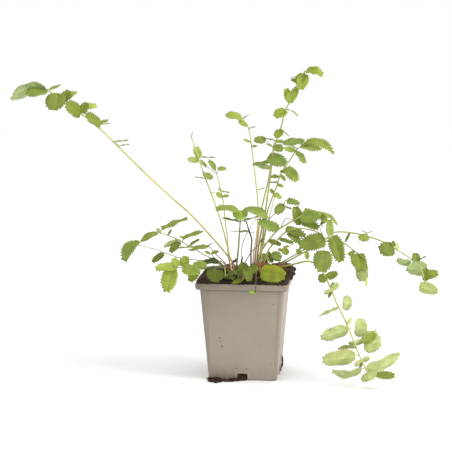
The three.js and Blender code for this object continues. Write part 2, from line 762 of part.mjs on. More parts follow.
function tube(knots, radius) {
  const corners = Array.from({ length: STEM.sides }, (_, side) => {
    const angle = (side / STEM.sides) * 2 * Math.PI;
    return new THREE.Vector2(radius * Math.cos(angle), radius * Math.sin(angle));
  });
  const section = new THREE.Shape(corners);
  const extrudePath = new KnotPath(knots);
  return new THREE.ExtrudeGeometry(section, { steps: knots.length - 1, extrudePath, bevelEnabled: false });
}

function rootPoint(frond) {
  const [column, near] = frond.root;
  const above = seen(column, VIEW.centre, near);
  const point = seen(column, rowOfHeight(SOIL.crown, near), near);
  point.z = soilHeight(point.x, above.y);
  return point;
}

function rowOfHeight(height, near) {
  const { back, up, eye } = VIEW_AXES;
  const point = VIEW_AXES.ahead.clone().multiplyScalar(near);
  point.z = height;
  const offset = point.sub(eye);
  return VIEW.centre + (VIEW.focal * offset.dot(up)) / offset.dot(back);
}

// Points of a stem above the soil. Depths that the route doesn't give change evenly along its length.
function stemPoints(frond) {
  const [rootColumn, rootNear] = frond.root;
  const stops = [[rootColumn, rowOfHeight(SOIL.crown, rootNear), rootNear], ...frond.route];
  const lengths = stops.map(() => 0);
  for (let index = 1; index < stops.length; index += 1) {
    const [column, row] = stops[index];
    const [columnBefore, rowBefore] = stops[index - 1];
    lengths[index] = lengths[index - 1] + Math.hypot(column - columnBefore, row - rowBefore);
  }
  const points = stops.slice(1).map(([column, row], order) => {
    const index = order + 1;
    const before = stops.findLastIndex((stop, place) => place <= index && stop.length === 3);
    const after = stops.findIndex((stop, place) => place >= index && stop.length === 3);
    const span = lengths[after] - lengths[before];
    const share = span > 0 ? (lengths[index] - lengths[before]) / span : 0;
    return seen(column, row, THREE.MathUtils.lerp(stops[before][2], stops[after][2], share));
  });
  return [rootPoint(frond), ...points];
}

function stemKnots(frond) {
  const points = stemPoints(frond);
  const buried = points[0].clone();
  buried.z -= SOIL.rootDepth;
  const curve = new THREE.CatmullRomCurve3([buried, ...points]);
  return curve.getSpacedPoints(Math.max(STEM.fewestSteps, Math.round(curve.getLength() / STEM.step)));
}

function between(knots, pieces) {
  return knots.slice(1).flatMap((knot, index) => {
    const steps = Array.from({ length: pieces }, (_, step) => step / pieces);
    return steps.map((share) => knots[index].clone().lerp(knot, share));
  }).concat(knots.at(-1));
}

// Place of a leaflet: its base on the stem or at the end of its own stalk, its tip, and its upper face.
function leafPlace(knots, spec) {
  const { ahead, back } = VIEW_AXES;
  const [column, row, lift = 0] = spec.base;
  const offset = (point) => seen(column, row, point.dot(ahead)).distanceTo(point);
  const stemPoint = between(knots, 12).reduce((best, point) => (offset(point) < offset(best) ? point : best));
  const baseNear = stemPoint.dot(ahead) + lift;
  const free = seen(column, row, baseNear);
  const stalked = free.distanceTo(stemPoint) > BLADE.snap;
  const base = stalked ? free : stemPoint.clone();
  const tip = seen(...spec.tip, baseNear + spec.near);
  const along = tip.clone().sub(base).normalize();
  const skyward = back.clone().cross(along).normalize();
  if (skyward.z < 0) {
    skyward.negate();
  }
  const turn = THREE.MathUtils.degToRad(spec.turn);
  const facing = back.clone().multiplyScalar(Math.cos(turn)).addScaledVector(skyward, Math.sin(turn));
  const across = facing.clone().cross(along).normalize();
  const upper = along.clone().cross(across).normalize();
  const necked = stalked && base.clone().sub(stemPoint).normalize().dot(along) > BLADE.neckBend;
  return { stemPoint, stalked, necked, base, tip, along, across, upper };
}

function halfBreadth(share, widest) {
  const eased = Math.abs(2 * share ** (Math.log(0.5) / Math.log(widest)) - 1);
  return (1 - eased ** 2.4) ** 0.55;
}

function toothCount(length) {
  if (length > 24) return 4;
  if (length > 15.5) return 3;
  return length > 10 ? 2 : 1;
}

// Margin of one side of a leaflet as [share of the length, share of the half width], base to tip.
function margin(teeth, widest) {
  const points = [[0, 0]];
  for (let tooth = 0; tooth < teeth; tooth += 1) {
    const peak = (tooth + 0.5) / (teeth + 0.35);
    const notch = (tooth + 1) / (teeth + 0.35);
    points.push([peak, halfBreadth(peak, widest)]);
    points.push([notch, halfBreadth(notch, widest) * (1 - BLADE.toothDepth)]);
  }
  points.push([1, 0]);
  return points;
}

// Faces between two rows of points that share both ends; the lower row lies to the right of the upper.
function stitch(lower, upper, shares) {
  const faces = [];
  let low = 0;
  let high = 0;
  while (low < lower.length - 1 || high < upper.length - 1) {
    const canLow = low < lower.length - 1;
    const canHigh = high < upper.length - 1;
    const lowFirst = canLow && (!canHigh || shares[lower[low + 1]] <= shares[upper[high + 1]]);
    const third = lowFirst ? lower[low + 1] : upper[high + 1];
    const corners = [lower[low], third, upper[high]];
    low += lowFirst ? 1 : 0;
    high += lowFirst ? 0 : 1;
    if (new Set(corners).size === 3) {
      faces.push(corners);
    }
  }
  return faces;
}

// Thin toothed blade with a raised arch along its length and a shallow fold along its rib. A stalked
// blade goes on as a flat neck from its base to the stem.
function blade(place, spec) {
  const length = place.tip.distanceTo(place.base);
  const half = (spec.width / 2 + BLADE.toothReach) * length;
  const teeth = toothCount(length);
  const side = margin(teeth, spec.widest);
  const ribShares = teeth > 3 ? [0.35, 0.7] : [0.5];
  const flat = [];
  const add = (share, offset) => flat.push([share, offset]) - 1;
  const base = add(0, 0);
  const tip = add(1, 0);
  const inner = side.slice(1, -1);
  if (place.necked) {
    inner.unshift([0, BLADE.neckWidth / 2 / half]);
  }
  const right = [base, ...inner.map(([share, breadth]) => add(share, -breadth)), tip];
  const left = [base, ...inner.map(([share, breadth]) => add(share, breadth)), tip];
  const rib = [base, ...ribShares.map((share) => add(share, 0)), tip];
  const shares = flat.map(([share]) => share);
  const bow = (spec.turn < 90 ? 1 : -1) * spec.bow * length;
  const top = flat.map(([share, offset]) => {
    const middle = 4 * share * (1 - share);
    const fold = (Math.abs(offset) - 0.55 * Math.sqrt(middle)) * half * BLADE.fold;
    const rise = spec.arch * length * middle + fold;
    return place.base.clone()
      .addScaledVector(place.along, share * length)
      .addScaledVector(place.across, offset * half + bow * middle)
      .addScaledVector(place.upper, rise + BLADE.thickness / 2);
  });
  const faces = [...stitch(right, rib, shares), ...stitch(rib, left, shares)];
  const loop = [...right.slice(1), ...left.slice(1, -1).reverse()];
  if (place.necked) {
    const [rightEnd, leftEnd] = [-1, 1].map((sign) => {
      const end = place.stemPoint.clone().addScaledVector(place.across, (sign * BLADE.neckWidth) / 2);
      return top.push(end.addScaledVector(place.upper, BLADE.thickness / 2)) - 1;
    });
    faces.push([rightEnd, right[1], base], [rightEnd, base, leftEnd], [leftEnd, base, left[1]]);
    loop.unshift(leftEnd, rightEnd);
  } else {
    loop.unshift(base);
  }
  const below = top.length;
  const under = top.map((point) => point.clone().addScaledVector(place.upper, -BLADE.thickness));
  const underside = faces.map(([a, b, c]) => [c + below, b + below, a + below]);
  const rim = loop.flatMap((from, index) => {
    const to = loop[(index + 1) % loop.length];
    return [[from + below, to + below, to], [from + below, to, from]];
  });
  return indexed([...top, ...under], [...faces, ...underside, ...rim]);
}

// A stalk that leaves its blade at a steep angle is round.
function roundStalk(place, spec) {
  const rising = place.along.clone().addScaledVector(place.upper, 4 * spec.arch).normalize();
  const inBlade = place.base.clone().addScaledVector(rising, 1.6);
  return tube([place.stemPoint, inBlade], STEM.stalkRadius);
}

function frondBody(frond) {
  const knots = stemKnots(frond);
  let body = solid(tube(knots, frond.radius));
  for (const spec of frond.leaflets) {
    const place = leafPlace(knots, spec);
    if (place.stalked && !place.necked) {
      body = body.add(solid(roundStalk(place, spec)));
    }
    body = body.add(solid(blade(place, spec)));
  }
  return largest(body);
}

const plant = new THREE.Group();
plant.add(mesh('pot', geometryOf(pot()), COLOURS.pot, 0.55));
plant.add(mesh('soil', geometryOf(soil()), COLOURS.soil, 0.95));
plant.add(mesh('soil_spill', spill(), COLOURS.soil, 0.95));
for (const frond of FRONDS) {
  plant.add(mesh(frond.name, geometryOf(frondBody(frond)), frond.colour, 0.7));
}

export default plant;
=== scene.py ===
"""Looks of a young burnet in a square nursery pot of soil."""

import math
import random

import bmesh
import bpy
import numpy as np
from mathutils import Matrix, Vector, noise


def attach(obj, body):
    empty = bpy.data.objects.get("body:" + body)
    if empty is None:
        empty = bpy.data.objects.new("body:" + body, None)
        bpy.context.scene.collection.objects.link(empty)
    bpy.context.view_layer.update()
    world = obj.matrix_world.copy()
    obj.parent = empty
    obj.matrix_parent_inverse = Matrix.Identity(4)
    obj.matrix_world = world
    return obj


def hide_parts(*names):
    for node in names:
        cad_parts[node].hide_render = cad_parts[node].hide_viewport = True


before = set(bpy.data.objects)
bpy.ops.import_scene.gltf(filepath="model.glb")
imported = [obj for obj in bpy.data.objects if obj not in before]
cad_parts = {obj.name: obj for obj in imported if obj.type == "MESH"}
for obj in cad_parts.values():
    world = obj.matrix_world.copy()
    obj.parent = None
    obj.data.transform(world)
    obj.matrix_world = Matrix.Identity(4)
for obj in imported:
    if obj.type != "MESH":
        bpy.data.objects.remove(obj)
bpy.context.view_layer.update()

MM = 0.001
TURN = 2 * math.pi
ANY_ANGLE = (0, 6.28)

# The plant was read off in one view of it: a column and a row of that view, in pixels of a 452 px wide
# frame, and a depth in millimetres towards the viewer from the pot's axis give a point of it.
VIEW = {"azimuth": 6.5, "elevation": 8, "distance": 1500, "focal": 1516, "centre": 226}
VIEW_AIM = {"aside": -19.9, "height": 148.2}
AZIMUTH, ELEVATION = math.radians(VIEW["azimuth"]), math.radians(VIEW["elevation"])
RIGHT = np.array([math.cos(AZIMUTH), math.sin(AZIMUTH), 0.0])
AHEAD = np.array([math.sin(AZIMUTH), -math.cos(AZIMUTH), 0.0])
BACK = AHEAD * math.cos(ELEVATION) + np.array([0.0, 0.0, math.sin(ELEVATION)])
UP = np.cross(BACK, RIGHT)
AIM = RIGHT * VIEW_AIM["aside"] + np.array([0.0, 0.0, VIEW_AIM["height"]])
EYE = AIM + BACK * VIEW["distance"]

POT = {
    "height": 97.5, "rim_width": 91, "rim_bottom_width": 90, "rim_height": 6.3, "body_width": 82.6,
    "base_width": 67, "wall": 1.2, "floor": 1.6, "rim_radius": 3, "body_radius": 3.5, "foot_round": 2.2,
    "corner_steps": 14, "sharp_angle": 28,
}
BODY_TOP = POT["height"] - POT["rim_height"]
NOTCH = {
    "width": 10, "height": 7, "depth": 3.6, "frame": 3, "proud": 0.7, "thick": 1.2, "round": 0.45,
}
# Width of the band of painted shade along the pot's corners, at the foot and at the top; the bump steps down
# there too.
CORNER_SHADE_BAND = {"foot": 3.2, "top": 6.8}
SOIL = {
    "crown": 102.4, "edge": 98.7, "back_rise": 3, "reach": 44.2, "right_spill": 1.2, "root_depth": 6,
    "clear": 0.3, "rings": 44, "crowding": 1.1, "corner": 0.16, "calm_edge": 0.93,
}
# The crumbly relief of the soil: the height, the size and the seed of each layer of noise.
SOIL_RELIEF = ((1.0, 9, 3), (0.8, 3.6, 7), (0.45, 1.5, 11))
# The spill's ends, its greatest width and height, how both vary along it, and its cross-section as shares
# of the two.
SPILL = {
    "left": -35.0, "right": 4.0, "wide": 7.4, "tall": 3.5, "steps": 70, "from_wall": 0.9,
    "wide_wave": 0.34, "wide_turns": 9, "wide_rough": 0.12, "tall_wave": 0.4, "tall_turns": 7,
    "tall_rough": 0.2, "bump": 0.3,
    "profile": (
        (0, 0.05), (0, 1), (0.15, 1), (0.35, 0.86), (0.55, 0.6), (0.75, 0.36), (0.9, 0.15), (1, 0.02),
    ),
}
# How many crumbs and fibres lie in each place, the seeds of their places, and their sizes.
CRUMBS = {
    "soil": 1050, "heap": 110, "right": 70, "front": 190, "fibres": 70, "spill": 260, "notch": 46,
    "clump": 12, "left": 110,
}
SEEDS = {"crumbs": 4, "fibres": 9, "spill": 21, "dirt": 31}
CRUMB_SIZES = {
    "soil": (0.7, 0.9, 1.1, 1.4, 1.8, 2.4), "heap": (2, 4), "right": (1.6, 3.6),
    "front": (0.5, 0.7, 0.9, 1.2), "spill": (0.6, 0.8, 1.0, 1.3, 1.7), "notch": (1.2, 2.6),
    "clump": (1.2, 2.8), "left": (0.8, 2.4), "dirt": (0.45, 0.75), "edge": 1.2,
}
# How bright crumbs are beside the soil's own colour, and how warm at most.
CRUMB_LEVELS = (0.5, 0.7, 0.9, 1.1, 1.4, 1.9, 2.6)
CRUMB_WARMTH = (0, 0.18)
DIRT_TINT = np.array([1.08, 1.0, 0.95])
LUMP = {"swell": 0.55, "bump_size": 1.1, "squash": (0.7, 1.25), "tilt": 0.8}

# Sizes in millimetres, and shares of a blade's length or half width.
BLADE = {
    "thickness": 0.34, "snap": 3, "start": 0.06, "longest_start": 1.0, "rib_bend": 0.06, "fullness": 2.4,
    "bluntness": 0.55, "fold": 0.14, "fold_line": 0.55, "bulge": 0.0384, "bulge_end": 1.05, "groove": 0.012,
    "groove_width": 0.2, "wave": (0.015, 0.035), "wave_turns": (1.2, 2.2), "wave_shift": 2.1,
}
ACROSS_STEPS = (0.0, 0.14, 0.38, 0.64, 0.86, 1.0)
TEETH = {
    "spacing": 2.4, "fewest": 4, "depth": 0.078, "shallowest": 0.5, "deepest": 1.9, "sunk": 0.18,
    "lean": 0.35, "uneven": (0.8, 1.2), "phases": (0.0, 0.3, 0.58, 0.84), "shape": (0.0, 0.5, 1.0, 0.6),
    "vein": 0.58,
}
STEM = {
    "foot": 1.2, "taper": 0.14, "end_taper": 0.4, "joint": 1.25, "joint_reach": 1.6, "spacing": 2.0,
    "red": 0.75, "red_reach": 32, "red_fade": 1.4, "joint_red": 0.08, "joint_red_reach": 1.8,
    "foot_share": 1.2, "foot_reach": 66,
}
STALK = {"thick": 0.42, "thin": 0.3, "spacing": 0.8, "hidden": 0.3, "bend": 0.2, "sides": 6}
TWIG = {"thick": 0.45, "thin": 0.3, "spacing": 1, "step": 0.3}
FIBRE = {"thick": 0.22, "thin": 0.1, "spacing": 0.8, "shortest": 0.3, "sides": 5}

# Colours as seen on the plant and the pot, red, green and blue out of 255.
LOOKS = {
    "leaf": {"upper": (138, 154, 68), "under": (177, 190, 122), "stem": (196, 196, 112)},
    "leaf_light": {"upper": (146, 163, 66), "under": (180, 193, 122), "stem": (190, 193, 110)},
    "leaf_dark": {"upper": (130, 146, 68), "under": (162, 175, 110), "stem": (184, 182, 108)},
    "leaf_pale": {"upper": (149, 163, 82), "under": (192, 201, 130), "stem": (196, 198, 114)},
    "leaf_yellow": {"upper": (136, 149, 52), "under": (176, 186, 104), "stem": (190, 180, 96)},
}
STEM_RED = (158, 84, 62)
STALK_COLOUR = (120, 118, 74)
FIBRE_COLOURS = ((120, 88, 62), (86, 58, 42), (150, 116, 84))
SHEATH_COLOUR = (186, 120, 92)
# Colours of the pot: groove and corner are painted shade, under the rim and along the corners; the rest are
# its own colours.
POT_COLOURS = {
    "wall": (167, 156, 140), "dust": (140, 118, 98), "groove": (70, 62, 52), "rim": (140, 128, 108),
    "stain": (118, 108, 92), "corner": (150, 139, 122),
}
# The soil's dark and light colours, and the darkest one: painted shade round the crown, and soil darker
# towards the bottom.
SOIL_COLOURS = ((36, 28, 23), (94, 76, 58), (20, 14, 12))
PAPERY_COLOURS = ((112, 52, 36), (196, 128, 92))
# The two sides of a blade: how much lighter its veins are, how far, their relief and the roughness.
VEINS = {
    "upper": {"lighter": (1.46, 1.36, 1.6, 1), "share": 0.5, "relief": -0.8, "rough": (0.48, 0.62)},
    "under": {"lighter": (1.5, 1.42, 1.7, 1), "share": 0.55, "relief": 0.8, "rough": (0.62, 0.78)},
}
# A leaflet's tone is partly its own and partly painted light and shade, as it lies lit or shaded by other
# leaves.
# How far a shade and tone of 1 goes, how much leaves differ, and how much less blue those darker than `dark`
# have.
SHADE_AND_TONE = {"power": 0.45, "spread": 0.07, "warmth": 0.05, "dark": 0.4, "less_blue": 0.28}
# What a blush adds to the red, green and blue of a leaf.
BLUSH = (0.75, 0.5, -0.35)
# The light is brighter than white on the plant, so its own colours are darker than they are seen.
LIGHT_SHARE = 0.785


def leaf(base, tip, near=0, turn=45, width=0.78, arch=0.03, shade_and_tone=0, bow=0, widest=0.44, blush=0):
    """A leaflet from its base to its tip, each a column and a row. The tip is `near` mm nearer to the viewer
    than the base, and a third number moves the base off its stem. The upper face turns from the viewer, at
    0 degrees, to the sky, at 90, and on to the back. The width, the height of the arch and the sideways bow
    of the rib are shares of the length. It is widest at the share `widest` of its length. The shade and tone
    runs from -1, dark, to 1, bright: the leaf's own tone together with painted light and shade, lighter or
    darker as the leaflet lies lit or in the shade of other leaves. A blush turns its left side yellow."""
    return {
        "base": base, "tip": tip, "near": near, "turn": turn, "width": width, "arch": arch, "shade_and_tone": shade_and_tone,
        "bow": bow, "widest": widest, "blush": blush,
    }


def frond(name, look, radius, root, route, leaflets, stem=None, foot=None, stalks=()):
    """A frond of a look and a stem radius. Its root is a column and a depth on the soil. Its stem passes
    through the points of its route, where a third number is the depth there, and the other depths lie evenly
    between those given. The colours of the stem and of its foot may differ from those of the look."""
    own_stem = stem or LOOKS[look]["stem"]
    return {
        "name": name, "look": look, "radius": radius, "root": root, "route": route, "leaflets": leaflets,
        "stem": own_stem, "foot": foot or own_stem, "stalks": stalks,
    }


# The tone of each leaflet below is partly its own and partly painted light and shade.
FRONDS = [
    frond("frond_long_left", "leaf", 0.82, (237, -10), [
        (227.6, 255.7), (205.9, 230.6), (188.9, 212.6), (177.7, 203), (152.5, 180), (131.4, 159.6),
        (100.3, 129), (83, 115.2), (64.2, 103), (47.3, 89.2, -30),
    ], [
        leaf((46.5, 88.2), (12, 99.8), 6, 115, 0.64, 0.16, shade_and_tone=-0.3),
        leaf((47, 89.3), (28, 95), 10, 40, 0.82, 0.08),
        leaf((48.5, 90.5), (60, 84.5), -12, 50, 0.5, 0),
        leaf((58, 93), (53, 110), 9, 12, 1.0),
        leaf((63.5, 101), (69, 90.5), -4, 25, 0.85, shade_and_tone=-0.2),
        leaf((66, 100, -1), (75.5, 91.5), -9, 50, 0.85, shade_and_tone=0.9),
        leaf((82, 114.5), (66, 104.5), 13, 25, 0.72, shade_and_tone=-0.6),
        leaf((82.5, 114), (87, 102.5), -3, 25, 0.8, shade_and_tone=-0.2),
        leaf((86, 107, -2), (96.5, 105.5), -6, 30, 0.62, shade_and_tone=0.9),
        leaf((100.5, 124.3, 1), (85.5, 115.5), 10, 42, 0.72, shade_and_tone=-0.4),
        leaf((99.5, 124, -1), (108, 119.5), -8, 50, 0.6, 0),
        leaf((101.5, 124, -2), (110, 123.3), -12, 75, 0.35, 0),
        leaf((115.5, 140.6, 1), (128, 140.3), 5, 74, 0.3, 0),
        leaf((119.5, 144, -1), (129, 144.2), -4, 74, 0.34, 0),
    ], stem=(212, 207, 124), foot=(236, 212, 148)),
    frond("frond_tall", "leaf_light", 0.8, (254.5, -8), [
        (255.7, 253), (258, 236), (261.6, 209.7), (268.8, 178.6), (273.4, 150), (281, 127.6),
        (286.5, 108), (298.8, 89.2), (304.9, 71, 10),
    ], [
        leaf((304.3, 71.2), (322.5, 75.5), 4, 40, 0.62, 0.24, shade_and_tone=-0.25),
        leaf((304, 72.5), (300.8, 89.5), 12, 12, 0.6, shade_and_tone=0.2),
        leaf((303.8, 73.5), (297, 83.5), 6, 25, 0.72, shade_and_tone=-0.5),
        leaf((303, 76), (291, 77), -10, 70, 0.3, 0, shade_and_tone=-0.8),
        leaf((301.5, 82), (291, 79.7), 3, 45, 0.6, 0, shade_and_tone=-0.4),
        leaf((290.8, 91.5, 5), (290.8, 103), 5, 10, 0.86, 0.05, widest=0.3, shade_and_tone=0.15),
        leaf((290, 101), (285.9, 88.7), 6, 10, 0.52, 0, shade_and_tone=0.35),
        leaf((291, 101.5), (296.9, 87.5), 5, 10, 0.5, 0, shade_and_tone=0.2),
        leaf((284.8, 108.5), (275.3, 117.3), 9, 25, 0.72, shade_and_tone=-0.3),
        leaf((287, 108.5), (298, 116.3), -3, 80, 0.3, 0.12, shade_and_tone=-0.5),
        leaf((280, 128.6), (277.3, 138), 9, 20, 0.74, shade_and_tone=-0.3),
        leaf((281.5, 129), (289.5, 136.3), -3, 80, 0.28, 0, shade_and_tone=-0.5),
    ], foot=(196, 148, 84)),
    frond("frond_upper_left", "leaf_pale", 0.7, (234.4, 9), [
        (230.4, 265.8), (226.9, 244.5), (217.6, 211.2), (205.4, 178), (195, 148), (191.4, 137, -45),
    ], [
        leaf((191.4, 137.3), (192.6, 131.5), -2, 70, 0.3, 0),
        leaf((197, 158.3), (196.3, 146.8), -12, 15, 0.52, shade_and_tone=0.5),
        leaf((199, 160.3), (187.8, 160), 4, 40, 0.7, shade_and_tone=0.3),
        leaf((199.5, 157.3, -1), (214.5, 157.4), -4, 78, 0.3, 0, shade_and_tone=-0.6),
        leaf((204.6, 173.6), (212.3, 179), 8, 25, 0.6),
        leaf((205, 175.5), (203.3, 171.5), 0, 40, 0.8, 0, shade_and_tone=-1),
        leaf((206, 179), (195, 177.3), 2, 80, 0.35, 0.05, shade_and_tone=-0.8),
        leaf((211.2, 192.5), (215, 192.3), -2, 70, 0.4, 0),
    ], foot=(214, 190, 110)),
    frond("frond_left_of_centre", "leaf", 0.65, (235, 4), [
        (228.8, 252), (227.2, 236), (225.4, 222.1), (223.7, 204.4), (222.3, 196), (220, 186.6),
        (216.5, 173.4, -70),
    ], [
        leaf((216, 169.8), (208.3, 160.8), 5, 45, 0.58, 0.05, shade_and_tone=-0.1),
        leaf((217.5, 169.5), (226.2, 168.3), -4, 40, 0.6, 0.05, shade_and_tone=-0.1),
        leaf((206.8, 166.8, 3), (199.6, 160.3), 3, 50, 0.55, 0, shade_and_tone=0.6),
        leaf((222, 191), (218, 188.3), 2, 50, 0.7, 0),
        leaf((222.3, 190.6), (230.5, 192.8), -3, 70, 0.45, 0),
        leaf((222.3, 195), (216, 194.3), 4, 30, 0.9, 0, shade_and_tone=0.3),
        leaf((222.8, 195.8), (228.8, 196.3), 3, 50, 0.75, 0, shade_and_tone=0.3),
    ]),
    frond("frond_umbrella", "leaf", 0.82, (235.9, 14.5), [
        (236.7, 264.6), (238.5, 247.4), (239.6, 230.2), (240.2, 222.1), (240.3, 217.5, 28),
    ], [
        leaf((240.2, 209.8, -2), (240.2, 219.6), 6, 0, 1.34, 0.02, widest=0.4, shade_and_tone=1.55),
        leaf((239.3, 211.8), (216.3, 209.8), 3, 68, 0.72, 0.12),
        leaf((242, 211), (266.8, 219), 9, 58, 0.56, 0.2),
        leaf((239.5, 221), (222.3, 218), 7, 76, 0.45, 0),
        leaf((240.8, 221), (258, 216.3), -9, 80, 0.35, 0, shade_and_tone=-0.6),
        leaf((239.3, 230.3), (230, 231.3), -4, 84, 0.25, 0, shade_and_tone=-0.8),
    ], stem=(148, 164, 88)),
    frond("frond_purple_stem", "leaf_dark", 0.76, (251, 1), [
        (251, 250.3), (251.7, 239.4), (248.8, 230.2), (246.3, 221.5, 6),
    ], [
        leaf((249, 231.8), (240.3, 232), 3, 60, 0.45, 0.05),
        leaf((249.6, 232.2), (253.5, 232.5), -2, 74, 0.5, 0, shade_and_tone=-0.6),
        leaf((246.3, 221), (242, 220.5), 0, 60, 0.4, 0, shade_and_tone=-1),
    ], stem=(98, 64, 50)),
    frond("frond_thin_centre", "leaf_pale", 0.5, (241, 7), [
        (241.3, 258.9), (243, 242.8), (250, 228), (255.5, 220, -12),
    ], [
        leaf((255, 220.8), (259.5, 219), -4, 70, 0.7, 0),
    ], stem=(196, 192, 186)),
    frond("frond_top_centre", "leaf_light", 0.65, (253, -15), [
        (253.4, 256), (257.2, 230), (258.1, 207.7), (255.5, 178.6), (252.2, 151), (248.5, 128),
        (243, 118.5, -60),
    ], [
        leaf((243, 117.5), (226, 116), 4, 55, 0.84, 0.1),
        leaf((243.3, 118.2), (249, 114.3), -3, 75, 0.6, 0),
        leaf((248.6, 124.8), (238.8, 122.6), 6, 38, 0.76, 0.04, shade_and_tone=-0.2),
        leaf((249, 127.4), (255.5, 126.4), -4, 72, 0.5, 0, shade_and_tone=-0.7),
        leaf((251, 142), (243.5, 140), 4, 62, 0.8, 0),
        leaf((251.5, 145), (257, 146.5), 3, 55, 0.8, 0, shade_and_tone=-0.5),
        leaf((257, 191), (265, 187.5), -4, 80, 0.4, 0, shade_and_tone=-1),
    ], foot=(226, 198, 150)),
    frond("frond_beside_tall", "leaf_dark", 0.8, (256.3, -2), [
        (258.8, 245), (265.2, 212.8), (267.8, 193.9), (270.3, 177.6), (273.3, 146.5, 24),
    ], [
        leaf((266, 140.3, -2), (254.3, 139.8), -2, 25, 0.68, shade_and_tone=0.2),
        leaf((276, 140.5, -1), (264.5, 138), -2, 70, 0.3, 0, shade_and_tone=-0.3),
        leaf((273.5, 144), (266.3, 144), 3, 55, 0.42, 0),
        leaf((274.5, 144.5), (283, 150), 6, 20, 0.75, shade_and_tone=0.1),
        leaf((276, 141.5), (284, 141.5), -2, 40, 0.55, 0),
        leaf((283, 143.8, -2), (304.5, 141.5), -3, 50, 0.5, 0.05, shade_and_tone=0.1),
        leaf((267.8, 156.6), (285.8, 164), 8, 18, 0.64, shade_and_tone=0.3),
        leaf((270.3, 161.8), (252.8, 164.5), -4, 60, 0.34, 0.03),
        leaf((270.3, 168.3), (256.5, 164.8), -2, 150, 0.36, 0, shade_and_tone=0.1),
    ], foot=(178, 116, 74)),
    frond("frond_right_top", "leaf", 0.75, (257.6, 5), [
        (266.7, 214.8), (272.3, 197.4), (277, 185.7), (280, 175.5), (287.7, 163.3),
        (297.3, 148.7, 48),
    ], [
        leaf((304.5, 143.3, 2), (333.3, 154), 4, 32, 0.28, 0.16, shade_and_tone=0.1, bow=0.14, widest=0.35),
        leaf((300.5, 145.8), (321.3, 149.6), 13, 22, 0.28, 0.05, shade_and_tone=0.5),
        leaf((297, 148.3), (290.5, 144.8), -6, 60, 0.3, 0, shade_and_tone=-0.4),
        leaf((297, 151), (284.5, 149.3), 6, 35, 0.55),
        leaf((297, 150.5), (304.3, 163.3), 8, 40, 0.55, 0.06),
        leaf((286, 166.3), (297.3, 180.8), 6, 15, 0.6),
        leaf((286, 172), (280, 171.3), 2, 40, 0.6, 0),
        leaf((279, 175.5), (270.8, 177.3), 3, 40, 0.55, 0.1, shade_and_tone=-0.2),
        leaf((279.3, 175.3), (285, 180.8), 3, 35, 0.6, 0.1, shade_and_tone=0.6),
        leaf((277.8, 183), (270.3, 182.3), -3, 60, 0.4, 0, shade_and_tone=-0.5),
        leaf((277.6, 183.5), (283.3, 187), 3, 30, 0.55, 0, shade_and_tone=0.6),
        leaf((274.5, 192.5), (270, 190), 2, 30, 0.9, 0),
        leaf((274, 193.5), (281, 198.5), 3, 30, 0.65, 0, shade_and_tone=0.6),
    ]),
    frond("frond_pale_stem", "leaf_pale", 0.58, (259, 9), [
        (264.5, 238), (269.8, 215.3), (272.3, 206), (274.4, 197.5, 16),
    ], [
        leaf((274.3, 198), (277.6, 193.5), -3, 60, 0.8, 0),
    ], stem=(208, 208, 140)),
    frond("frond_young_right", "leaf_dark", 0.5, (259.8, 13), [
        (263.5, 238), (270, 218.5), (276, 213), (282, 206.5), (286, 200, 30),
    ], [
        leaf((286.3, 199.5), (299.5, 204), 3, 30, 0.52, widest=0.34),
        leaf((285.3, 205), (276.3, 213.8), 6, 20, 0.72, shade_and_tone=0.1),
        leaf((286, 207), (292, 208.8), -3, 60, 0.45, 0, shade_and_tone=-0.8),
    ]),
    frond("frond_right_upper", "leaf", 0.75, (256, 16), [
        (258.5, 257), (264.9, 245.7), (276.4, 231.3), (282.7, 226.7), (292.4, 221), (306, 214),
        (317, 211.5), (322.5, 212.5, 40),
    ], [
        leaf((321.5, 214.5), (336.8, 225), 4, 60, 0.42, 0.12, widest=0.3),
        leaf((299.5, 225.3), (295.5, 206.8), -6, 15, 0.52, shade_and_tone=-0.5),
        leaf((317.5, 215), (304.8, 209), -10, 30, 0.34, 0, shade_and_tone=0.2),
        leaf((300, 218), (320.5, 216.5), 12, 15, 0.55, shade_and_tone=0.2),
        leaf((301, 220.8, -2), (318.5, 227.8), 8, 20, 0.44, shade_and_tone=0.3),
        leaf((320.3, 213.5), (325.8, 222.5), -4, 20, 0.6, shade_and_tone=0.4),
        leaf((323, 221.5), (320.8, 225), 1, 30, 0.7, 0, shade_and_tone=-0.6),
        leaf((280.8, 228.6), (259, 221.3), 8, 20, 0.42, 0.02, bow=0.05),
        leaf((268, 245.3), (260, 244.6), 3, 70, 0.3, 0),
        leaf((260.5, 240.3), (264.5, 238.5), 2, 50, 0.5, 0, shade_and_tone=-0.8),
        leaf((260.3, 240.5), (263, 242), 2, 50, 0.5, 0, shade_and_tone=-0.8),
    ], stalks=[[(281, 226.5), (284, 221), (286.5, 218.3), (293, 220)]]),
    frond("frond_right_middle", "leaf_dark", 0.7, (262, 21), [
        (268.5, 250), (276, 241.5), (285.3, 232.3), (297, 228.5), (310, 229.8), (319.3, 233),
        (325.6, 238.8, 58),
    ], [
        leaf((285.5, 228.5), (305.3, 235.8), 2, 25, 0.4, shade_and_tone=-0.2),
        leaf((286, 231), (300.5, 243), 6, 25, 0.45, shade_and_tone=0.1),
        leaf((326.5, 237.6), (299.5, 246), 6, 12, 0.58, 0.02, widest=0.36, shade_and_tone=-0.52),
        leaf((323.5, 250.3, 1), (322.2, 271.6), 3, 8, 0.85, shade_and_tone=0.25),
        leaf((332.5, 235.5, -4), (341.2, 261.5), 3, 12, 0.5, widest=0.4, shade_and_tone=-0.45),
        leaf((330, 236), (329.3, 219.8), -5, 20, 0.47, shade_and_tone=0.4),
        leaf((268.5, 240.3), (281, 245), 3, 35, 0.42, shade_and_tone=-0.3),
        leaf((280.5, 240.8), (293, 243), 3, 50, 0.42, 0, shade_and_tone=0.35),
    ], stalks=[[(321.8, 234), (320.5, 229.5), (319.3, 226), (322, 226.3), (325, 226.6)]]),
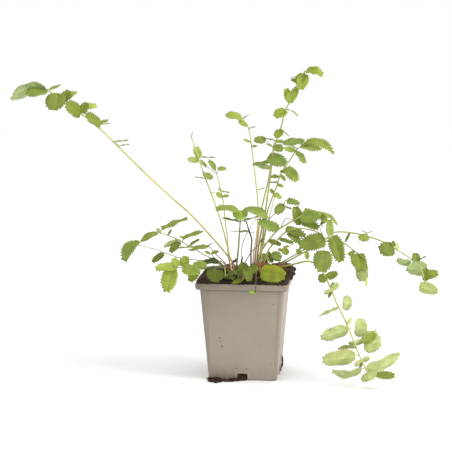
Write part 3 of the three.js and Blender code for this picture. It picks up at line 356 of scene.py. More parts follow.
    frond("frond_long_right", "leaf", 0.75, (268, -22), [
        (283, 263.5), (297.6, 255.8), (312, 248), (325, 240), (333.8, 232.6), (350.6, 232.7),
        (370.5, 237.2), (384.3, 242.3), (397, 249.8), (418, 265), (425.4, 282, 12),
    ], [
        leaf((419, 286.3), (437.8, 291.3), 6, 152, 0.66, 0.02, widest=0.36, shade_and_tone=0.3),
        leaf((425.3, 282), (426, 268.3), -3, 20, 0.5, shade_and_tone=-0.2),
        leaf((426, 275), (437.8, 272.8), -4, 25, 0.64, shade_and_tone=-0.6),
        leaf((427, 269.5, -3), (406.8, 268.3), 3, 155, 0.72, 0.02, widest=0.36, shade_and_tone=-0.15),
        leaf((415.5, 266), (415.3, 252.8), -5, 15, 0.8, shade_and_tone=-0.65),
        leaf((411, 262.5), (397.3, 259), 4, 150, 0.48, 0, bow=0.14, shade_and_tone=-0.4),
        leaf((419, 259.5), (426.3, 256.3), -5, 70, 0.35, 0, shade_and_tone=-0.8),
        leaf((396.3, 248.5), (379.3, 250), 8, 15, 0.83, shade_and_tone=-0.98),
        leaf((394, 247), (393, 240.8), 1, 20, 0.7, 0, shade_and_tone=-0.4),
        leaf((397, 250), (397.8, 243.2), -4, 150, 0.65, 0, shade_and_tone=0.3),
        leaf((370.3, 236.5), (358.5, 238.5), 6, 15, 0.62, shade_and_tone=-0.35),
        leaf((367.3, 233, -3), (361.5, 230.5), -5, 70, 0.4, 0, shade_and_tone=-0.8),
        leaf((367.5, 233, -3), (373, 231.2), -6, 78, 0.25, 0, shade_and_tone=-0.8),
        leaf((350, 233), (345.2, 242), 3, 60, 0.42, 0),
        leaf((301, 256.3), (297.5, 248.8), -3, 15, 0.85, 0, shade_and_tone=-0.3),
        leaf((308, 252.8, 1), (307, 259.3), 4, 20, 0.58, 0, shade_and_tone=0.2),
    ]),
    frond("frond_crumpled", "leaf", 0.55, (266, -4), [
        (281.5, 262.5), (305, 249.5), (322, 243.5), (333, 239), (344.5, 243.4), (355.7, 252),
        (364, 259), (368, 270), (367.5, 277, 30),
    ], [
        leaf((356.3, 251.8), (361, 271), 8, 15, 0.86, shade_and_tone=-0.62, widest=0.32),
        leaf((355, 252.5), (348, 255), 3, 30, 0.6, 0, shade_and_tone=-0.1),
        leaf((364.5, 255.5, 1), (366, 270.5), 0, 20, 0.4, shade_and_tone=0.3),
        leaf((361, 266, -2), (362.3, 281.3), 0, 160, 0.76, 0.02, shade_and_tone=0.1),
        leaf((367.3, 278), (366, 286.5), 2, 150, 0.34, 0, shade_and_tone=0.4),
    ], stem=(160, 154, 84)),
    frond("frond_hanging_right", "leaf_pale", 0.85, (270, -10), [
        (283, 266.8), (296.5, 263.5), (308, 261.2), (316, 264), (323, 272.2), (330.9, 288.7),
        (336.8, 302.8), (347, 324.4), (355, 344.2), (361.7, 360.8), (367.4, 371.6, 64),
    ], [
        leaf((324.3, 272.3), (322.3, 282.8), 5, 15, 0.96, shade_and_tone=-0.35),
        leaf((325, 278.3), (337.4, 272.6), -4, 25, 0.66, widest=0.36, shade_and_tone=-0.35),
        leaf((331, 289.5), (338.8, 284.3), -3, 150, 0.9, 0, shade_and_tone=-0.1),
        leaf((331, 288), (333.3, 282.3), -2, 30, 0.45, 0, shade_and_tone=-0.8),
        leaf((331.5, 291), (324, 293), 3, 150, 0.7, 0, shade_and_tone=-0.1),
        leaf((331.2, 291.5), (328.3, 298), 3, 50, 0.45, 0, shade_and_tone=-0.8),
        leaf((342.8, 303, -3), (352.2, 303), -12, 180, 0.88, 0.02, shade_and_tone=-0.55),
        leaf((337.3, 307.2), (319.5, 315.8), 3, 118, 0.36, 0, shade_and_tone=-0.2),
        leaf((348.5, 324.5), (351.5, 317.8), -2, 140, 0.6, 0),
        leaf((354.8, 327.6, -2), (367.2, 328), -12, 180, 0.96, 0.02, shade_and_tone=-0.3),
        leaf((347.2, 329), (321.3, 337.8), 5, 155, 0.48, 0.02),
        leaf((355.3, 344.5), (348.7, 342.7), 2, 150, 0.75, 0, shade_and_tone=0.1),
        leaf((355.8, 344), (362.8, 340.3), -2, 150, 0.8, 0, shade_and_tone=0.1),
        leaf((363.8, 342.6, -2), (380.8, 341.2), -13, 178, 0.94, 0.02, shade_and_tone=-0.4),
        leaf((362.8, 343, 1), (375, 333), -9, 25, 0.6, 0, shade_and_tone=-0.45),
        leaf((375, 338, -9), (375.6, 328.8), 0, 150, 0.3, 0, shade_and_tone=-0.1),
        leaf((356.3, 347.3), (338, 349), 2, 120, 0.5, 0.08, shade_and_tone=-0.1),
        leaf((355.8, 356.3, 3), (323.3, 360.3), 6, 150, 0.54, 0.02),
        leaf((362, 361), (370, 357.8), -2, 150, 0.72, 0, shade_and_tone=0.1),
        leaf((361.8, 361.3), (355, 365.5), 2, 150, 0.8, 0),
        leaf((361.8, 362), (359.5, 368), 2, 30, 0.4, 0, shade_and_tone=-1.3),
        leaf((366.8, 368.8), (399.3, 353.3), -8, 148, 0.38, 0, bow=-0.1, widest=0.36, shade_and_tone=-0.2),
        leaf((362, 369.3), (333, 370.3), 5, 150, 0.28, 0, bow=0.2, shade_and_tone=-0.2),
        leaf((369.5, 371), (369.8, 380.6), 13, 172, 1.15, 0.02, shade_and_tone=-0.2),
        leaf((373.5, 375, 6), (394.3, 375.6), 3, 30, 0.38, 0, widest=0.6, shade_and_tone=-0.75),
    ], stem=(216, 212, 126)),
    frond("frond_left_upper", "leaf", 0.58, (229.5, 4), [
        (218, 262), (203.6, 254.4), (194.4, 248.8), (186.7, 244.7), (180.5, 240.8), (167.3, 235),
        (158.5, 232.5, -12),
    ], [
        leaf((158.3, 230.9), (141.4, 241.8), 4, 56, 0.58, 0.1),
        leaf((161, 233), (156.8, 228.4), -1, 150, 0.8, 0, shade_and_tone=0.4),
        leaf((161.5, 229.2), (186.8, 218.3), -5, 62, 0.35, 0.02, widest=0.26),
        leaf((167.8, 234.7), (171.5, 229.5), -3, 50, 0.5, 0, shade_and_tone=0.2),
        leaf((183, 238.3), (203, 231.6), -4, 58, 0.33, 0.04, shade_and_tone=0.15),
        leaf((184.8, 239), (179.8, 236.3), 1, 50, 0.55, 0),
        leaf((180.8, 240.8), (170.5, 252.3), 8, 25, 0.48, shade_and_tone=-0.6),
        leaf((178, 241.3), (164.3, 246.8), 3, 150, 0.34, 0.02),
        leaf((187.8, 246), (199.3, 239.3), -3, 55, 0.36),
        leaf((196, 247.5), (188.3, 250.3), 4, 55, 0.5, 0),
    ], stem=(182, 184, 106)),
    frond("frond_left_lower", "leaf", 0.5, (231, -10), [
        (214, 262.5), (192, 259.5), (178, 257.5), (170, 254.5), (164, 252.7), (158.2, 250),
        (150, 248), (138.7, 245, -32),
    ], [
        leaf((139.5, 241), (125, 261), 7, 30, 0.5, 0.03, bow=-0.2, widest=0.5),
        leaf((164.3, 253), (152.5, 262), 5, 30, 0.48, shade_and_tone=-0.8),
    ], stem=(188, 186, 128)),
    frond("frond_grey_stem", "leaf_dark", 0.5, (230, -16), [
        (224.5, 262.5), (215.3, 253.4), (208.2, 245.2, -34),
    ], [
        leaf((208.3, 246.4), (192.8, 248.6), 3, 55, 0.46, 0.04, shade_and_tone=0.3),
        leaf((208.3, 245), (213, 242.8), -3, 74, 0.6, 0),
        leaf((193.5, 246.3, 1), (178, 248), 2, 75, 0.3, 0, shade_and_tone=-0.5),
    ], stem=(150, 138, 142)),
    frond("frond_small_left", "leaf", 0.5, (230.5, 12), [
        (222, 264), (214.5, 257.6), (210.9, 253.8, 18),
    ], [
        leaf((210.8, 253), (204.8, 251.7), 2, 55, 0.8, 0),
        leaf((211.2, 253.2), (218.6, 251), -2, 55, 0.8, 0),
    ]),
    frond("frond_dark_left", "leaf_dark", 0.5, (232, 16), [
        (226.5, 266), (220.5, 260.8, 24),
    ], [
        leaf((220, 261.4), (203.8, 263), 6, 60, 0.66, 0.05, shade_and_tone=-3),
    ]),
    frond("frond_bright_left", "leaf_light", 0.5, (230, 21), [
        (223.5, 267.8), (209, 266.8), (195, 267.5), (180, 267.8), (176, 267.6, 56),
    ], [
        leaf((172, 268), (166.6, 291.4), 7, 10, 0.62, 0.02, widest=0.38, shade_and_tone=0.1),
        leaf((177, 265.8), (156.2, 268.8), 9, 30, 0.4, 0.02, bow=-0.06, shade_and_tone=0.1),
        leaf((178.5, 267.3), (173.5, 258.3), -4, 20, 0.8, shade_and_tone=0.2),
        leaf((183.5, 268), (186, 256.2), -5, 15, 0.85),
        leaf((181, 269), (199, 272.5), 6, 20, 0.6),
        leaf((207.5, 267.4), (193, 264.5), -5, 30, 0.62, shade_and_tone=0.1),
        leaf((199.5, 268.5), (190, 281.3), 5, 20, 0.62, shade_and_tone=-0.3),
    ], stem=(124, 138, 70)),
    frond("leaf_round_front", "leaf", 0.45, (232.5, 26), [
        (224, 268), (214.5, 268.6, 38),
    ], [
        leaf((214, 268.2), (214.8, 282), 12, 8, 1.06, 0.03, widest=0.32, shade_and_tone=-1.9),
    ], stem=(106, 116, 60)),
    frond("leaves_centre_front", "leaf_dark", 0.55, (247.5, 24), [
        (246.5, 268), (246, 265.3, 40),
    ], [
        leaf((244.6, 262.2), (239.8, 279.4), -1, 15, 0.5, 0.04, shade_and_tone=-1),
        leaf((247.8, 264.3), (249.3, 281.2), 3.2, 8, 0.6, 0.04, shade_and_tone=-0.6),
        leaf((249.5, 266.6), (257, 271.6), 4, 15, 1.0, 0, shade_and_tone=-0.6),
        leaf((244.8, 269), (241, 276.8), 3, 20, 0.9, 0, shade_and_tone=-0.8),
    ]),
    frond("leaf_yellow_front", "leaf_yellow", 0.5, (243, 40.5), [
        (243.3, 278.3, 44.5), (243.5, 277.3, 47),
    ], [
        leaf((243.6, 278.8), (232.4, 283.6), 7, 30, 0.38, 0.02, shade_and_tone=-1.6),
    ]),
    frond("leaf_yellow_right", "leaf_yellow", 0.55, (256, 25), [
        (256.5, 268.5), (260, 268.5, 38),
    ], [
        leaf((260.3, 272.3), (284.6, 276), 8, 20, 0.7, 0.02, shade_and_tone=-0.15, blush=1.0),
    ]),
    frond("stalk_over_rim", "leaf_light", 0.5, (255.2, 30), [
        (255.8, 272.5), (256, 277.5, 47.5), (255.6, 285, 48.8), (255.3, 292, 49.5),
    ], [
        leaf((255.3, 291.8), (249.3, 292.8), 2, 45, 0.85, 0),
        leaf((255.3, 292), (257.4, 291.3), 1, 45, 0.85, 0),
    ], stem=(88, 84, 42)),
    frond("frond_low_right", "leaf_dark", 0.6, (265, -8), [
        (267.5, 262), (270, 254, -10),
    ], [
        leaf((270, 255.5), (260.3, 258.8), 5, 32, 0.85, 0.1, shade_and_tone=0.2),
        leaf((268.8, 258.2), (267.6, 252), 5, 20, 0.8, shade_and_tone=-0.3),
        leaf((269, 256), (270.2, 262.4), 7, 25, 1.0, shade_and_tone=0.3),
        leaf((275.5, 255.3), (277.5, 261.5), 7, 25, 1.1, shade_and_tone=0.25),
        leaf((270.2, 254.5), (281.3, 258.2), 4, 32, 0.82, 0.1, shade_and_tone=0.2),
    ]),
    frond("frond_yellow_right", "leaf_yellow", 0.45, (263, -14), [
        (274, 259), (283.5, 247.5, -20),
    ], [
        leaf((283.5, 247.5), (286.5, 255), 4, 25, 1.0, 0.05, shade_and_tone=0.1),
        leaf((282.6, 249.3), (277.8, 249.8), 3, 45, 0.7, 0, shade_and_tone=-0.1),
        leaf((283.2, 247.8), (289, 245.8), -3, 60, 0.8, 0),
    ]),
]


def linear(colour):
    """The same colour in linear light, each part from 0 to 1."""
    shares = [part / 255 for part in colour]
    return np.array([s / 12.92 if s <= 0.04045 else ((s + 0.055) / 1.055) ** 2.4 for s in shares])


def unit(vector):
    """The vector with a length of 1."""
    return vector / max(float(np.linalg.norm(vector)), 1e-9)


def seen(column, row, near):
    """The point that shows at a column and a row, `near` mm towards the viewer from the pot's axis."""
    aside, above = column - VIEW["centre"], VIEW["centre"] - row
    ray = -BACK + RIGHT * aside / VIEW["focal"] + UP * above / VIEW["focal"]
    return EYE + ray * ((near - EYE @ AHEAD) / (ray @ AHEAD))


def row_of_height(height, near):
    """The row at which a point over the middle of the pot is seen."""
    offset = AHEAD * near + np.array([0, 0, height]) - EYE
    return VIEW["centre"] + VIEW["focal"] * (offset @ UP) / (offset @ BACK)


def soil_height(x, y):
    """A low mound that rises towards the back right corner."""
    half = POT["rim_width"] / 2
    share = min(1.0, max(abs(x), abs(y)) / half)
    mound = (SOIL["crown"] - SOIL["edge"]) * (1 - share * share)
    return SOIL["edge"] + mound + SOIL["back_rise"] * max(0.0, x + y) / (2 * half)


def added(name, data):
    """An object in the scene with the data given."""
    made = bpy.data.objects.new(name, data)
    bpy.context.scene.collection.objects.link(made)
    return made


def mesh_object(name, points, faces):
    """An object from points in millimetres and faces."""
    mesh = bpy.data.meshes.new(name)
    mesh.from_pydata((np.asarray(points) * MM).tolist(), [], faces)
    mesh.update()
    return added(name, mesh)


def settle(made, node=None):
    """Gives an object its body, and hides the node that it replaces, if any."""
    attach(made, "root")
    if node:
        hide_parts(node)


class Skin:
    """Points, faces and their looks, gathered for one object."""

    def __init__(self):
        self.points, self.faces, self.kinds, self.tints, self.blades = [], [], [], [], []
        self.count = 0

    def add(self, points, faces, kinds, tints, blades=None):
        points = np.asarray(points, float)
        self.faces += [[index + self.count for index in face] for face in faces]
        self.kinds += [kinds] * len(faces) if isinstance(kinds, int) else list(kinds)
        self.tints.append(np.broadcast_to(np.asarray(tints, float), (len(points), 3)))
        self.blades.append(np.zeros((len(points), 3)) if blades is None else blades)
        self.points.append(points)
        self.count += len(points)

    def keep_above(self, height):
        for points in self.points:
            points[:, 2] = np.maximum(points[:, 2], height)

    def build(self, name, *materials):
        made = mesh_object(name, np.concatenate(self.points), self.faces)
        mesh = made.data
        for material in materials:
            mesh.materials.append(material)
        mesh.polygons.foreach_set("material_index", self.kinds)
        mesh.polygons.foreach_set("use_smooth", [True] * len(self.faces))
        tint = mesh.attributes.new("tint", "FLOAT_COLOR", "POINT")
        colours = np.concatenate([np.concatenate(self.tints), np.ones((self.count, 1))], 1)
        tint.data.foreach_set("color", colours.astype(np.float32).ravel())
        blade = mesh.attributes.new("blade", "FLOAT_VECTOR", "POINT")
        blade.data.foreach_set("vector", np.concatenate(self.blades).astype(np.float32).ravel())
        mesh.update()
        return made


def spaced_curve(points, spacing, steps=24):
    """Points a few millimetres apart along the centripetal curve through the points given."""
    pts = [2 * points[0] - points[1], *points, 2 * points[-1] - points[-2]]
    dense = []
    for p0, p1, p2, p3 in zip(pts, pts[1:], pts[2:], pts[3:]):
        d1 = max(np.linalg.norm(p2 - p1) ** 0.5, 1e-4)
        d0 = np.linalg.norm(p1 - p0) ** 0.5 or d1
        d2 = np.linalg.norm(p3 - p2) ** 0.5 or d1
        t1 = ((p1 - p0) / d0 - (p2 - p0) / (d0 + d1) + (p2 - p1) / d1) * d1
        t2 = ((p2 - p1) / d1 - (p3 - p1) / (d1 + d2) + (p3 - p2) / d2) * d1
        a = -3 * p1 + 3 * p2 - 2 * t1 - t2
        b = 2 * p1 - 2 * p2 + t1 + t2
        dense += [p1 + t1 * u + a * u * u + b * u**3 for u in np.linspace(0, 1, steps, endpoint=False)]
    dense = np.array([*dense, points[-1]])
    lengths = np.concatenate([[0], np.cumsum(np.linalg.norm(np.diff(dense, axis=0), axis=1))])
    places = np.linspace(0, lengths[-1], max(3, int(round(lengths[-1] / spacing)) + 1))
    return np.stack([np.interp(places, lengths, dense[:, axis]) for axis in range(3)], 1)


def stem_line(entry):
    """The middle line of a stem, from inside the soil to its end."""
    root_column, root_near = entry["root"]
    stops = [(root_column, row_of_height(SOIL["crown"], root_near), root_near), *entry["route"]]
    steps = [math.dist(before[:2], after[:2]) for before, after in zip(stops, stops[1:])]
    lengths = np.cumsum([0.0, *steps])
    known = [index for index, stop in enumerate(stops) if len(stop) == 3]
    nears = np.interp(lengths, lengths[known], [stops[index][2] for index in known])
    root, *points = [seen(stop[0], stop[1], near) for stop, near in zip(stops, nears)]
    root[2] = soil_height(root[0], seen(root_column, VIEW["centre"], root_near)[1])
    buried = root - np.array([0, 0, SOIL["root_depth"]])
    return spaced_curve([buried, root, *points], STEM["spacing"])


def loft(rings, first, last):
    """Points and faces of a closed skin over rings of equal counts, with a point at each end."""
    count = len(rings[0])
    points = np.concatenate([[first], *rings, [last]])
    end = len(points) - 1
    faces = []
    for side in range(count):
        turn = (side + 1) % count
        faces.append([0, 1 + turn, 1 + side])
        for low in range(1, end - count, count):
            faces.append([low + side, low + turn, low + count + turn, low + count + side])
        faces.append([end - count + side, end - count + turn, end])
    return points, faces


def tube(skin, line, radii, kind, tints, sides=8):
    """A round tube along a line, closed at both ends, with its own radius and tint at each point."""
    tangents = np.gradient(line, axis=0)
    slanting = [0.3, 0.9, 0.2]
    normal = unit(np.cross(tangents[0], slanting))
    angles = np.linspace(0, TURN, sides, endpoint=False)
    rings = []
    for point, tangent, radius in zip(line, tangents, radii):
        tangent = unit(tangent)
        normal = unit(normal - tangent * (normal @ tangent))
        other = np.cross(tangent, normal)
        rings.append(point + radius * (np.outer(np.cos(angles), normal) + np.outer(np.sin(angles), other)))
    if tints.ndim == 2:
        tints = np.concatenate([tints[:1], np.repeat(tints, sides, 0), tints[-1:]])
    skin.add(*loft(rings, line[0], line[-1]), kind, tints)


def nearest(line, column, row):
    """The index of the point of a line that is seen nearest to a column and a row."""
    return int(np.argmin([np.linalg.norm(seen(column, row, point @ AHEAD) - point) for point in line]))


def leaf_place(line, spec):
    """Where a leaflet stands: the stem's point beside it, its base, its tip and its directions."""
    column, row, *lift = spec["base"]
    stem_point = line[nearest(line, column, row)]
    base_near = stem_point @ AHEAD + sum(lift)
    free = seen(column, row, base_near)
    stalked = np.linalg.norm(free - stem_point) > BLADE["snap"]
    base = free if stalked else stem_point
    tip = seen(*spec["tip"], base_near + spec["near"])
    along = unit(tip - base)
    skyward = unit(np.cross(BACK, along))
    skyward = -skyward if skyward[2] < 0 else skyward
    turn = math.radians(spec["turn"])
    across = unit(np.cross(BACK * math.cos(turn) + skyward * math.sin(turn), along))
    if not stalked:
        base = base + along * min(BLADE["longest_start"], BLADE["start"] * np.linalg.norm(tip - base))
    return {
        "stem_point": stem_point, "base": base, "tip": tip, "along": along, "across": across,
        "upper": unit(np.cross(along, across)),
    }


def half_breadth(share, widest):
    """Half the breadth of a blade along its length, as a share of the greatest."""
    eased = np.abs(2 * np.clip(share, 0, 1) ** (math.log(0.5) / math.log(widest)) - 1)
    return np.clip(1 - eased ** BLADE["fullness"], 0, 1) ** BLADE["bluntness"]


def margins(spec, length, draw):
    """Along the margin: the teeth passed, the share of the length, the smooth margin and the toothed one."""
    teeth = max(TEETH["fewest"], round(length / TEETH["spacing"]))
    depth = min(TEETH["deepest"], max(TEETH["shallowest"], TEETH["depth"] * length))
    phase = np.array([tooth + part for tooth in range(teeth) for part in TEETH["phases"]] + [float(teeth)])
    out = np.array([*TEETH["shape"] * teeth, 0.0])
    out *= np.array([draw.uniform(*TEETH["uneven"]) for _ in phase[:-1]] + [0.0])
    shares = phase / teeth
    half = spec["width"] * length / 2
    smooth = np.stack([length * shares, half * half_breadth(shares, spec["widest"])], 1)
    slope = np.gradient(smooth, axis=0)
    outward = np.stack([-slope[:, 1], slope[:, 0]], 1)
    outward /= np.maximum(np.linalg.norm(outward, axis=1, keepdims=True), 1e-9)
    toothed = smooth + outward * ((out - TEETH["sunk"]) * depth)[:, None]
    toothed[:, 0] += out * depth * TEETH["lean"]
    return phase, shares, smooth, toothed


def blade_faces(columns, rows):
    """Faces of the upper and the lower skin by turns. Both share their outer columns and both ends."""
    last, below = columns - 1, columns * rows
    first_end = below + (columns - 2) * rows

    def top(column, row):
        return column * rows + row

    def under(column, row):
        return top(column, row) if column in (0, last) else below + (column - 1) * rows + row

    faces = []
    for column in range(last):
        for row in range(rows - 1):
            corners = [(column, row), (column, row + 1), (column + 1, row + 1), (column + 1, row)]
            faces.append([top(*corner) for corner in reversed(corners)])
            faces.append([under(*corner) for corner in corners])
        ends = ((first_end, 0, column + 1, column), (first_end + 1, rows - 1, column, column + 1))
        for end, row, one, other in ends:
            faces.append([end, top(one, row), top(other, row)])
            faces.append([end, under(other, row), under(one, row)])
    return faces


def leaf_tint(spec, draw):
    """The tint of a leaflet from its shade and tone, its own tone with painted light and shade. A dark upper
    side has less blue.
    """
    bright = math.exp(SHADE_AND_TONE["power"] * spec["shade_and_tone"]) * (1 + draw.uniform(-SHADE_AND_TONE["spread"], SHADE_AND_TONE["spread"]))
    warm = draw.uniform(-SHADE_AND_TONE["warmth"], SHADE_AND_TONE["warmth"])
    deep = min(1.0, max(0.0, -spec["shade_and_tone"] / SHADE_AND_TONE["dark"])) if spec["turn"] < 90 else 0.0
    return bright * np.array([1 + warm, 1, (1 - warm) * (1 - SHADE_AND_TONE["less_blue"] * deep)])


def leaflet(skin, place, spec, draw):
    """A thin blade: its margin is toothed, its veins lie sunken between bulging fields, it folds along its
    rib, and it arches and waves."""
    base = place["base"]
    length = float(np.linalg.norm(place["tip"] - base))
    phase, shares, smooth, toothed = margins(spec, length, draw)
    wave_turns, wave_start = draw.uniform(*BLADE["wave_turns"]), draw.uniform(*ANY_ANGLE)
    wave = draw.uniform(*BLADE["wave"]) * length
    hump = 4 * shares * (1 - shares)
    rib = length * (shares - BLADE["rib_bend"] * hump)
    bow = spec["bow"] * length * hump * (1 if spec["turn"] < 90 else -1)
    bulge = BLADE["bulge"] * length * (0.5 - 0.5 * np.cos(TURN * (phase - TEETH["vein"])))
    rows = slice(1, -1)
    tops, blushes, blades = [], [], []
    for side in (*(-step for step in ACROSS_STEPS[:0:-1]), *ACROSS_STEPS):
        out = abs(side)
        edge = toothed if out == 1 else smooth
        along = (1 - out) * rib + out * edge[:, 0]
        wave_angle = TURN * wave_turns * shares + wave_start + BLADE["wave_shift"] * (side > 0)
        height = spec["arch"] * length * hump + wave * out**2 * np.sin(wave_angle)
        height += BLADE["fold"] * smooth[:, 1] * (out - BLADE["fold_line"])
        height += bulge * out * (BLADE["bulge_end"] - out)
        height -= BLADE["groove"] * length * max(0.0, 1 - out / BLADE["groove_width"])
        offsets = np.stack([along, side * edge[:, 1] + bow, height], 1)
        tops.append((base + offsets @ np.array([place["along"], place["across"], place["upper"]]))[rows])
        yellowed = np.clip(1.25 - 1.1 * shares, 0, 1) * np.clip(2.4 * side - 1.1, 0, 1)
        blushes.append((spec["blush"] * yellowed)[rows])
        blades.append(np.stack([phase, np.full(len(shares), out), shares], 1)[rows])
    under = [top - place["upper"] * BLADE["thickness"] for top in tops[1:-1]]
    faces = blade_faces(len(tops), len(tops[0]))
    blush = np.concatenate([*blushes, *blushes[1:-1], [0, 0]])
    tints = leaf_tint(spec, draw) * (1 + np.outer(blush, BLUSH))
    points = np.concatenate([*tops, *under, [base, place["tip"]]])
    blades = np.concatenate([*blades, *blades[1:-1], [[0, 0, 0], [0, 0, 1]]])
    skin.add(points, faces, [0, 1] * (len(faces) // 2), tints, blades)


def stalk(skin, place, look):
    """The short stalk from the stem to the base of a blade."""
    stem_point, base = place["stem_point"], place["base"]
    if np.linalg.norm(base - stem_point) < STALK["hidden"]:
        return
    inside = base + place["along"]
    bend = (stem_point + inside) / 2 + place["along"] * STALK["bend"]
    line = spaced_curve([stem_point, bend, inside], STALK["spacing"])
    colour = (linear(look["stem"]) + linear(look["upper"])) / 2
    tube(skin, line, np.linspace(STALK["thick"], STALK["thin"], len(line)), 2, colour, STALK["sides"])


def frond_object(entry, materials, replaces=True):
    """A frond: its tapering stem with a joint at each pair of leaflets, its side stalks and its leaflets."""
    draw = random.Random(entry["name"])
    skin = Skin()
    line = stem_line(entry)
    places = [leaf_place(line, spec) for spec in entry["leaflets"]]
    shares = np.linspace(0, 1, len(line))
    travelled = shares * np.linalg.norm(np.diff(line, axis=0), axis=1).sum()
    radii = entry["radius"] * (STEM["foot"] - STEM["taper"] * shares - STEM["end_taper"] * shares**6)
    red = np.clip(1 - travelled / STEM["red_reach"], 0, 1) ** STEM["red_fade"] * STEM["red"]
    low = np.clip(STEM["foot_share"] - travelled / STEM["foot_reach"], 0, 1)[:, None]
    for place in places:
        distance = np.linalg.norm(line - place["stem_point"], axis=1)
        joint = STEM["joint"] * np.exp(-((distance / STEM["joint_reach"]) ** 2))
        radii = np.maximum(radii, entry["radius"] * joint)
        red = np.maximum(red, STEM["joint_red"] * np.exp(-((distance / STEM["joint_red_reach"]) ** 2)))
    tints = linear(entry["foot"]) * low + linear(entry["stem"]) * (1 - low)
    tints = tints * (1 - red[:, None]) + linear(STEM_RED) * red[:, None]
    tube(skin, line, radii, 2, tints)
    for stops in entry["stalks"]:
        near = line[nearest(line, *stops[0])] @ AHEAD
        points = [seen(*stop, near + TWIG["step"] * step) for step, stop in enumerate(stops)]
        twig = spaced_curve(points, TWIG["spacing"])
        radii = np.linspace(TWIG["thick"], TWIG["thin"], len(twig))
        tube(skin, twig, radii, 2, linear(STALK_COLOUR), STALK["sides"])
    for place, spec in zip(places, entry["leaflets"]):
        leaflet(skin, place, spec, draw)
        stalk(skin, place, LOOKS[entry["look"]])
    made = skin.build(entry["name"] + "_fine", *materials)
    settle(made, entry["name"] if replaces else None)


class Shading:
    """A material's nodes, made and joined by short calls."""

    def __init__(self, name):
        self.material = bpy.data.materials.new(name)
        self.material.use_nodes = True
        self.tree = self.material.node_tree
        self.shader = self.tree.nodes["Principled BSDF"]
        self.place = self.node("ShaderNodeTexCoord").outputs["Object"]

    def node(self, kind, **settings):
        made = self.tree.nodes.new(kind)
        for key, value in settings.items():
            setattr(made, key, value)
        return made

    def put(self, socket, value):
        if isinstance(value, bpy.types.NodeSocket):
            self.tree.links.new(value, socket)
        else:
            socket.default_value = value

    def math(self, operation, first, second=0.0):
        made = self.node("ShaderNodeMath", operation=operation)
        self.put(made.inputs[0], first)
        self.put(made.inputs[1], second)
        return made.outputs[0]

    def product(self, first, *others):
        for other in others:
            first = self.math("MULTIPLY", first, other)
        return first

    def mix(self, share, first, second, blend="MIX"):
        made = self.node("ShaderNodeMix", data_type="RGBA", blend_type=blend)
        self.put(made.inputs["Factor"], share)
        self.put(made.inputs[6], first)
        self.put(made.inputs[7], second)
        return made.outputs[2]

    def times(self, colour, *factors):
        for factor in factors:
            colour = self.mix(1.0, colour, factor, "MULTIPLY")
        return colour

    def spread(self, value, low, high, to_low, to_high, smooth=False):
        made = self.node("ShaderNodeMapRange", interpolation_type="SMOOTHSTEP" if smooth else "LINEAR")
        for index, entry in enumerate((value, low, high, to_low, to_high)):
            self.put(made.inputs[index], entry)
        return made.outputs[0]

    def noise(self, scale, detail=3.0, roughness=0.55, stretch=None):
        place = self.place
        if stretch:
            mapping = self.node("ShaderNodeMapping")
            self.put(mapping.inputs["Vector"], place)
            mapping.inputs["Scale"].default_value = stretch
            place = mapping.outputs[0]
        made = self.node("ShaderNodeTexNoise")
        settings = {"Vector": place, "Scale": scale, "Detail": detail, "Roughness": roughness}
        for key, value in settings.items():
            self.put(made.inputs[key], value)
        return made.outputs["Fac"]

    def split(self, vector):
        made = self.node("ShaderNodeSeparateXYZ")
        self.put(made.inputs[0], vector)
        return made.outputs

    def attribute(self, name, output):
        return self.node("ShaderNodeAttribute", attribute_name=name).outputs[output]

    def shade(self, share, low, high):
        """A grey from low to high that multiplies a colour."""
        level = self.spread(share, 0.3, 0.7, low, high)
        made = self.node("ShaderNodeCombineColor")
        for socket in made.inputs[:3]:
            self.put(socket, level)
        return made.outputs[0]

    def bump(self, height, distance, strength):
        made = self.node("ShaderNodeBump")
        for key, value in {"Height": height, "Distance": distance, "Strength": strength}.items():
            self.put(made.inputs[key], value)
        self.put(self.shader.inputs["Normal"], made.outputs[0])

    def surface(self, colour, roughness, **settings):
        """The colour and the roughness of the surface, and further settings, named with _ for a space."""
        self.put(self.shader.inputs["Base Color"], colour)
        self.put(self.shader.inputs["Roughness"], roughness)
        for key, value in settings.items():
            self.shader.inputs[key.replace("_", " ")].default_value = value
        return self.material


def opaque(colour, factor=1.0):
    """A colour of the photo as a shader takes it."""
    return tuple(min(1.0, part * factor * LIGHT_SHARE) for part in linear(colour)) + (1.0,)


def leaf_material(look, side):
    """One side of a blade: mottled, with side veins and a rib that are lighter than the fields."""
    shading, veins = Shading(f"{look}_{side}"), VEINS[side]
    phase, across, _ = shading.split(shading.attribute("blade", "Vector"))
    in_field = shading.math("FRACT", shading.math("ADD", phase, 0.5 - TEETH["vein"]))
    off_vein = shading.math("ABSOLUTE", shading.math("SUBTRACT", in_field, 0.5))
    side_vein = shading.product(shading.spread(off_vein, 0.02, 0.16, 1, 0, True),
                                shading.spread(across, 0.2, 1.0, 0.8, 0.25))
    vein = shading.math("MAXIMUM", side_vein, shading.spread(across, 0.02, 0.13, 1, 0, True))
    fine, broad = shading.noise(1500, 4), shading.noise(140, 2)
    base = shading.times(opaque(LOOKS[look][side]), shading.attribute("tint", "Color"),
                         shading.shade(fine, 0.88, 1.12), shading.shade(broad, 0.84, 1.16))
    base = shading.mix(shading.product(vein, veins["share"]), base, shading.times(base, veins["lighter"]))
    relief = shading.math("ADD", shading.product(vein, veins["relief"]), shading.product(fine, 0.35))
    shading.bump(relief, 0.0002, 0.7)
    return shading.surface(
        base, shading.spread(fine, 0.3, 0.7, *veins["rough"]), Specular_IOR_Level=0.15,
        Subsurface_Weight=0.2, Subsurface_Radius=(0.5, 1.0, 0.25), Subsurface_Scale=0.0008)


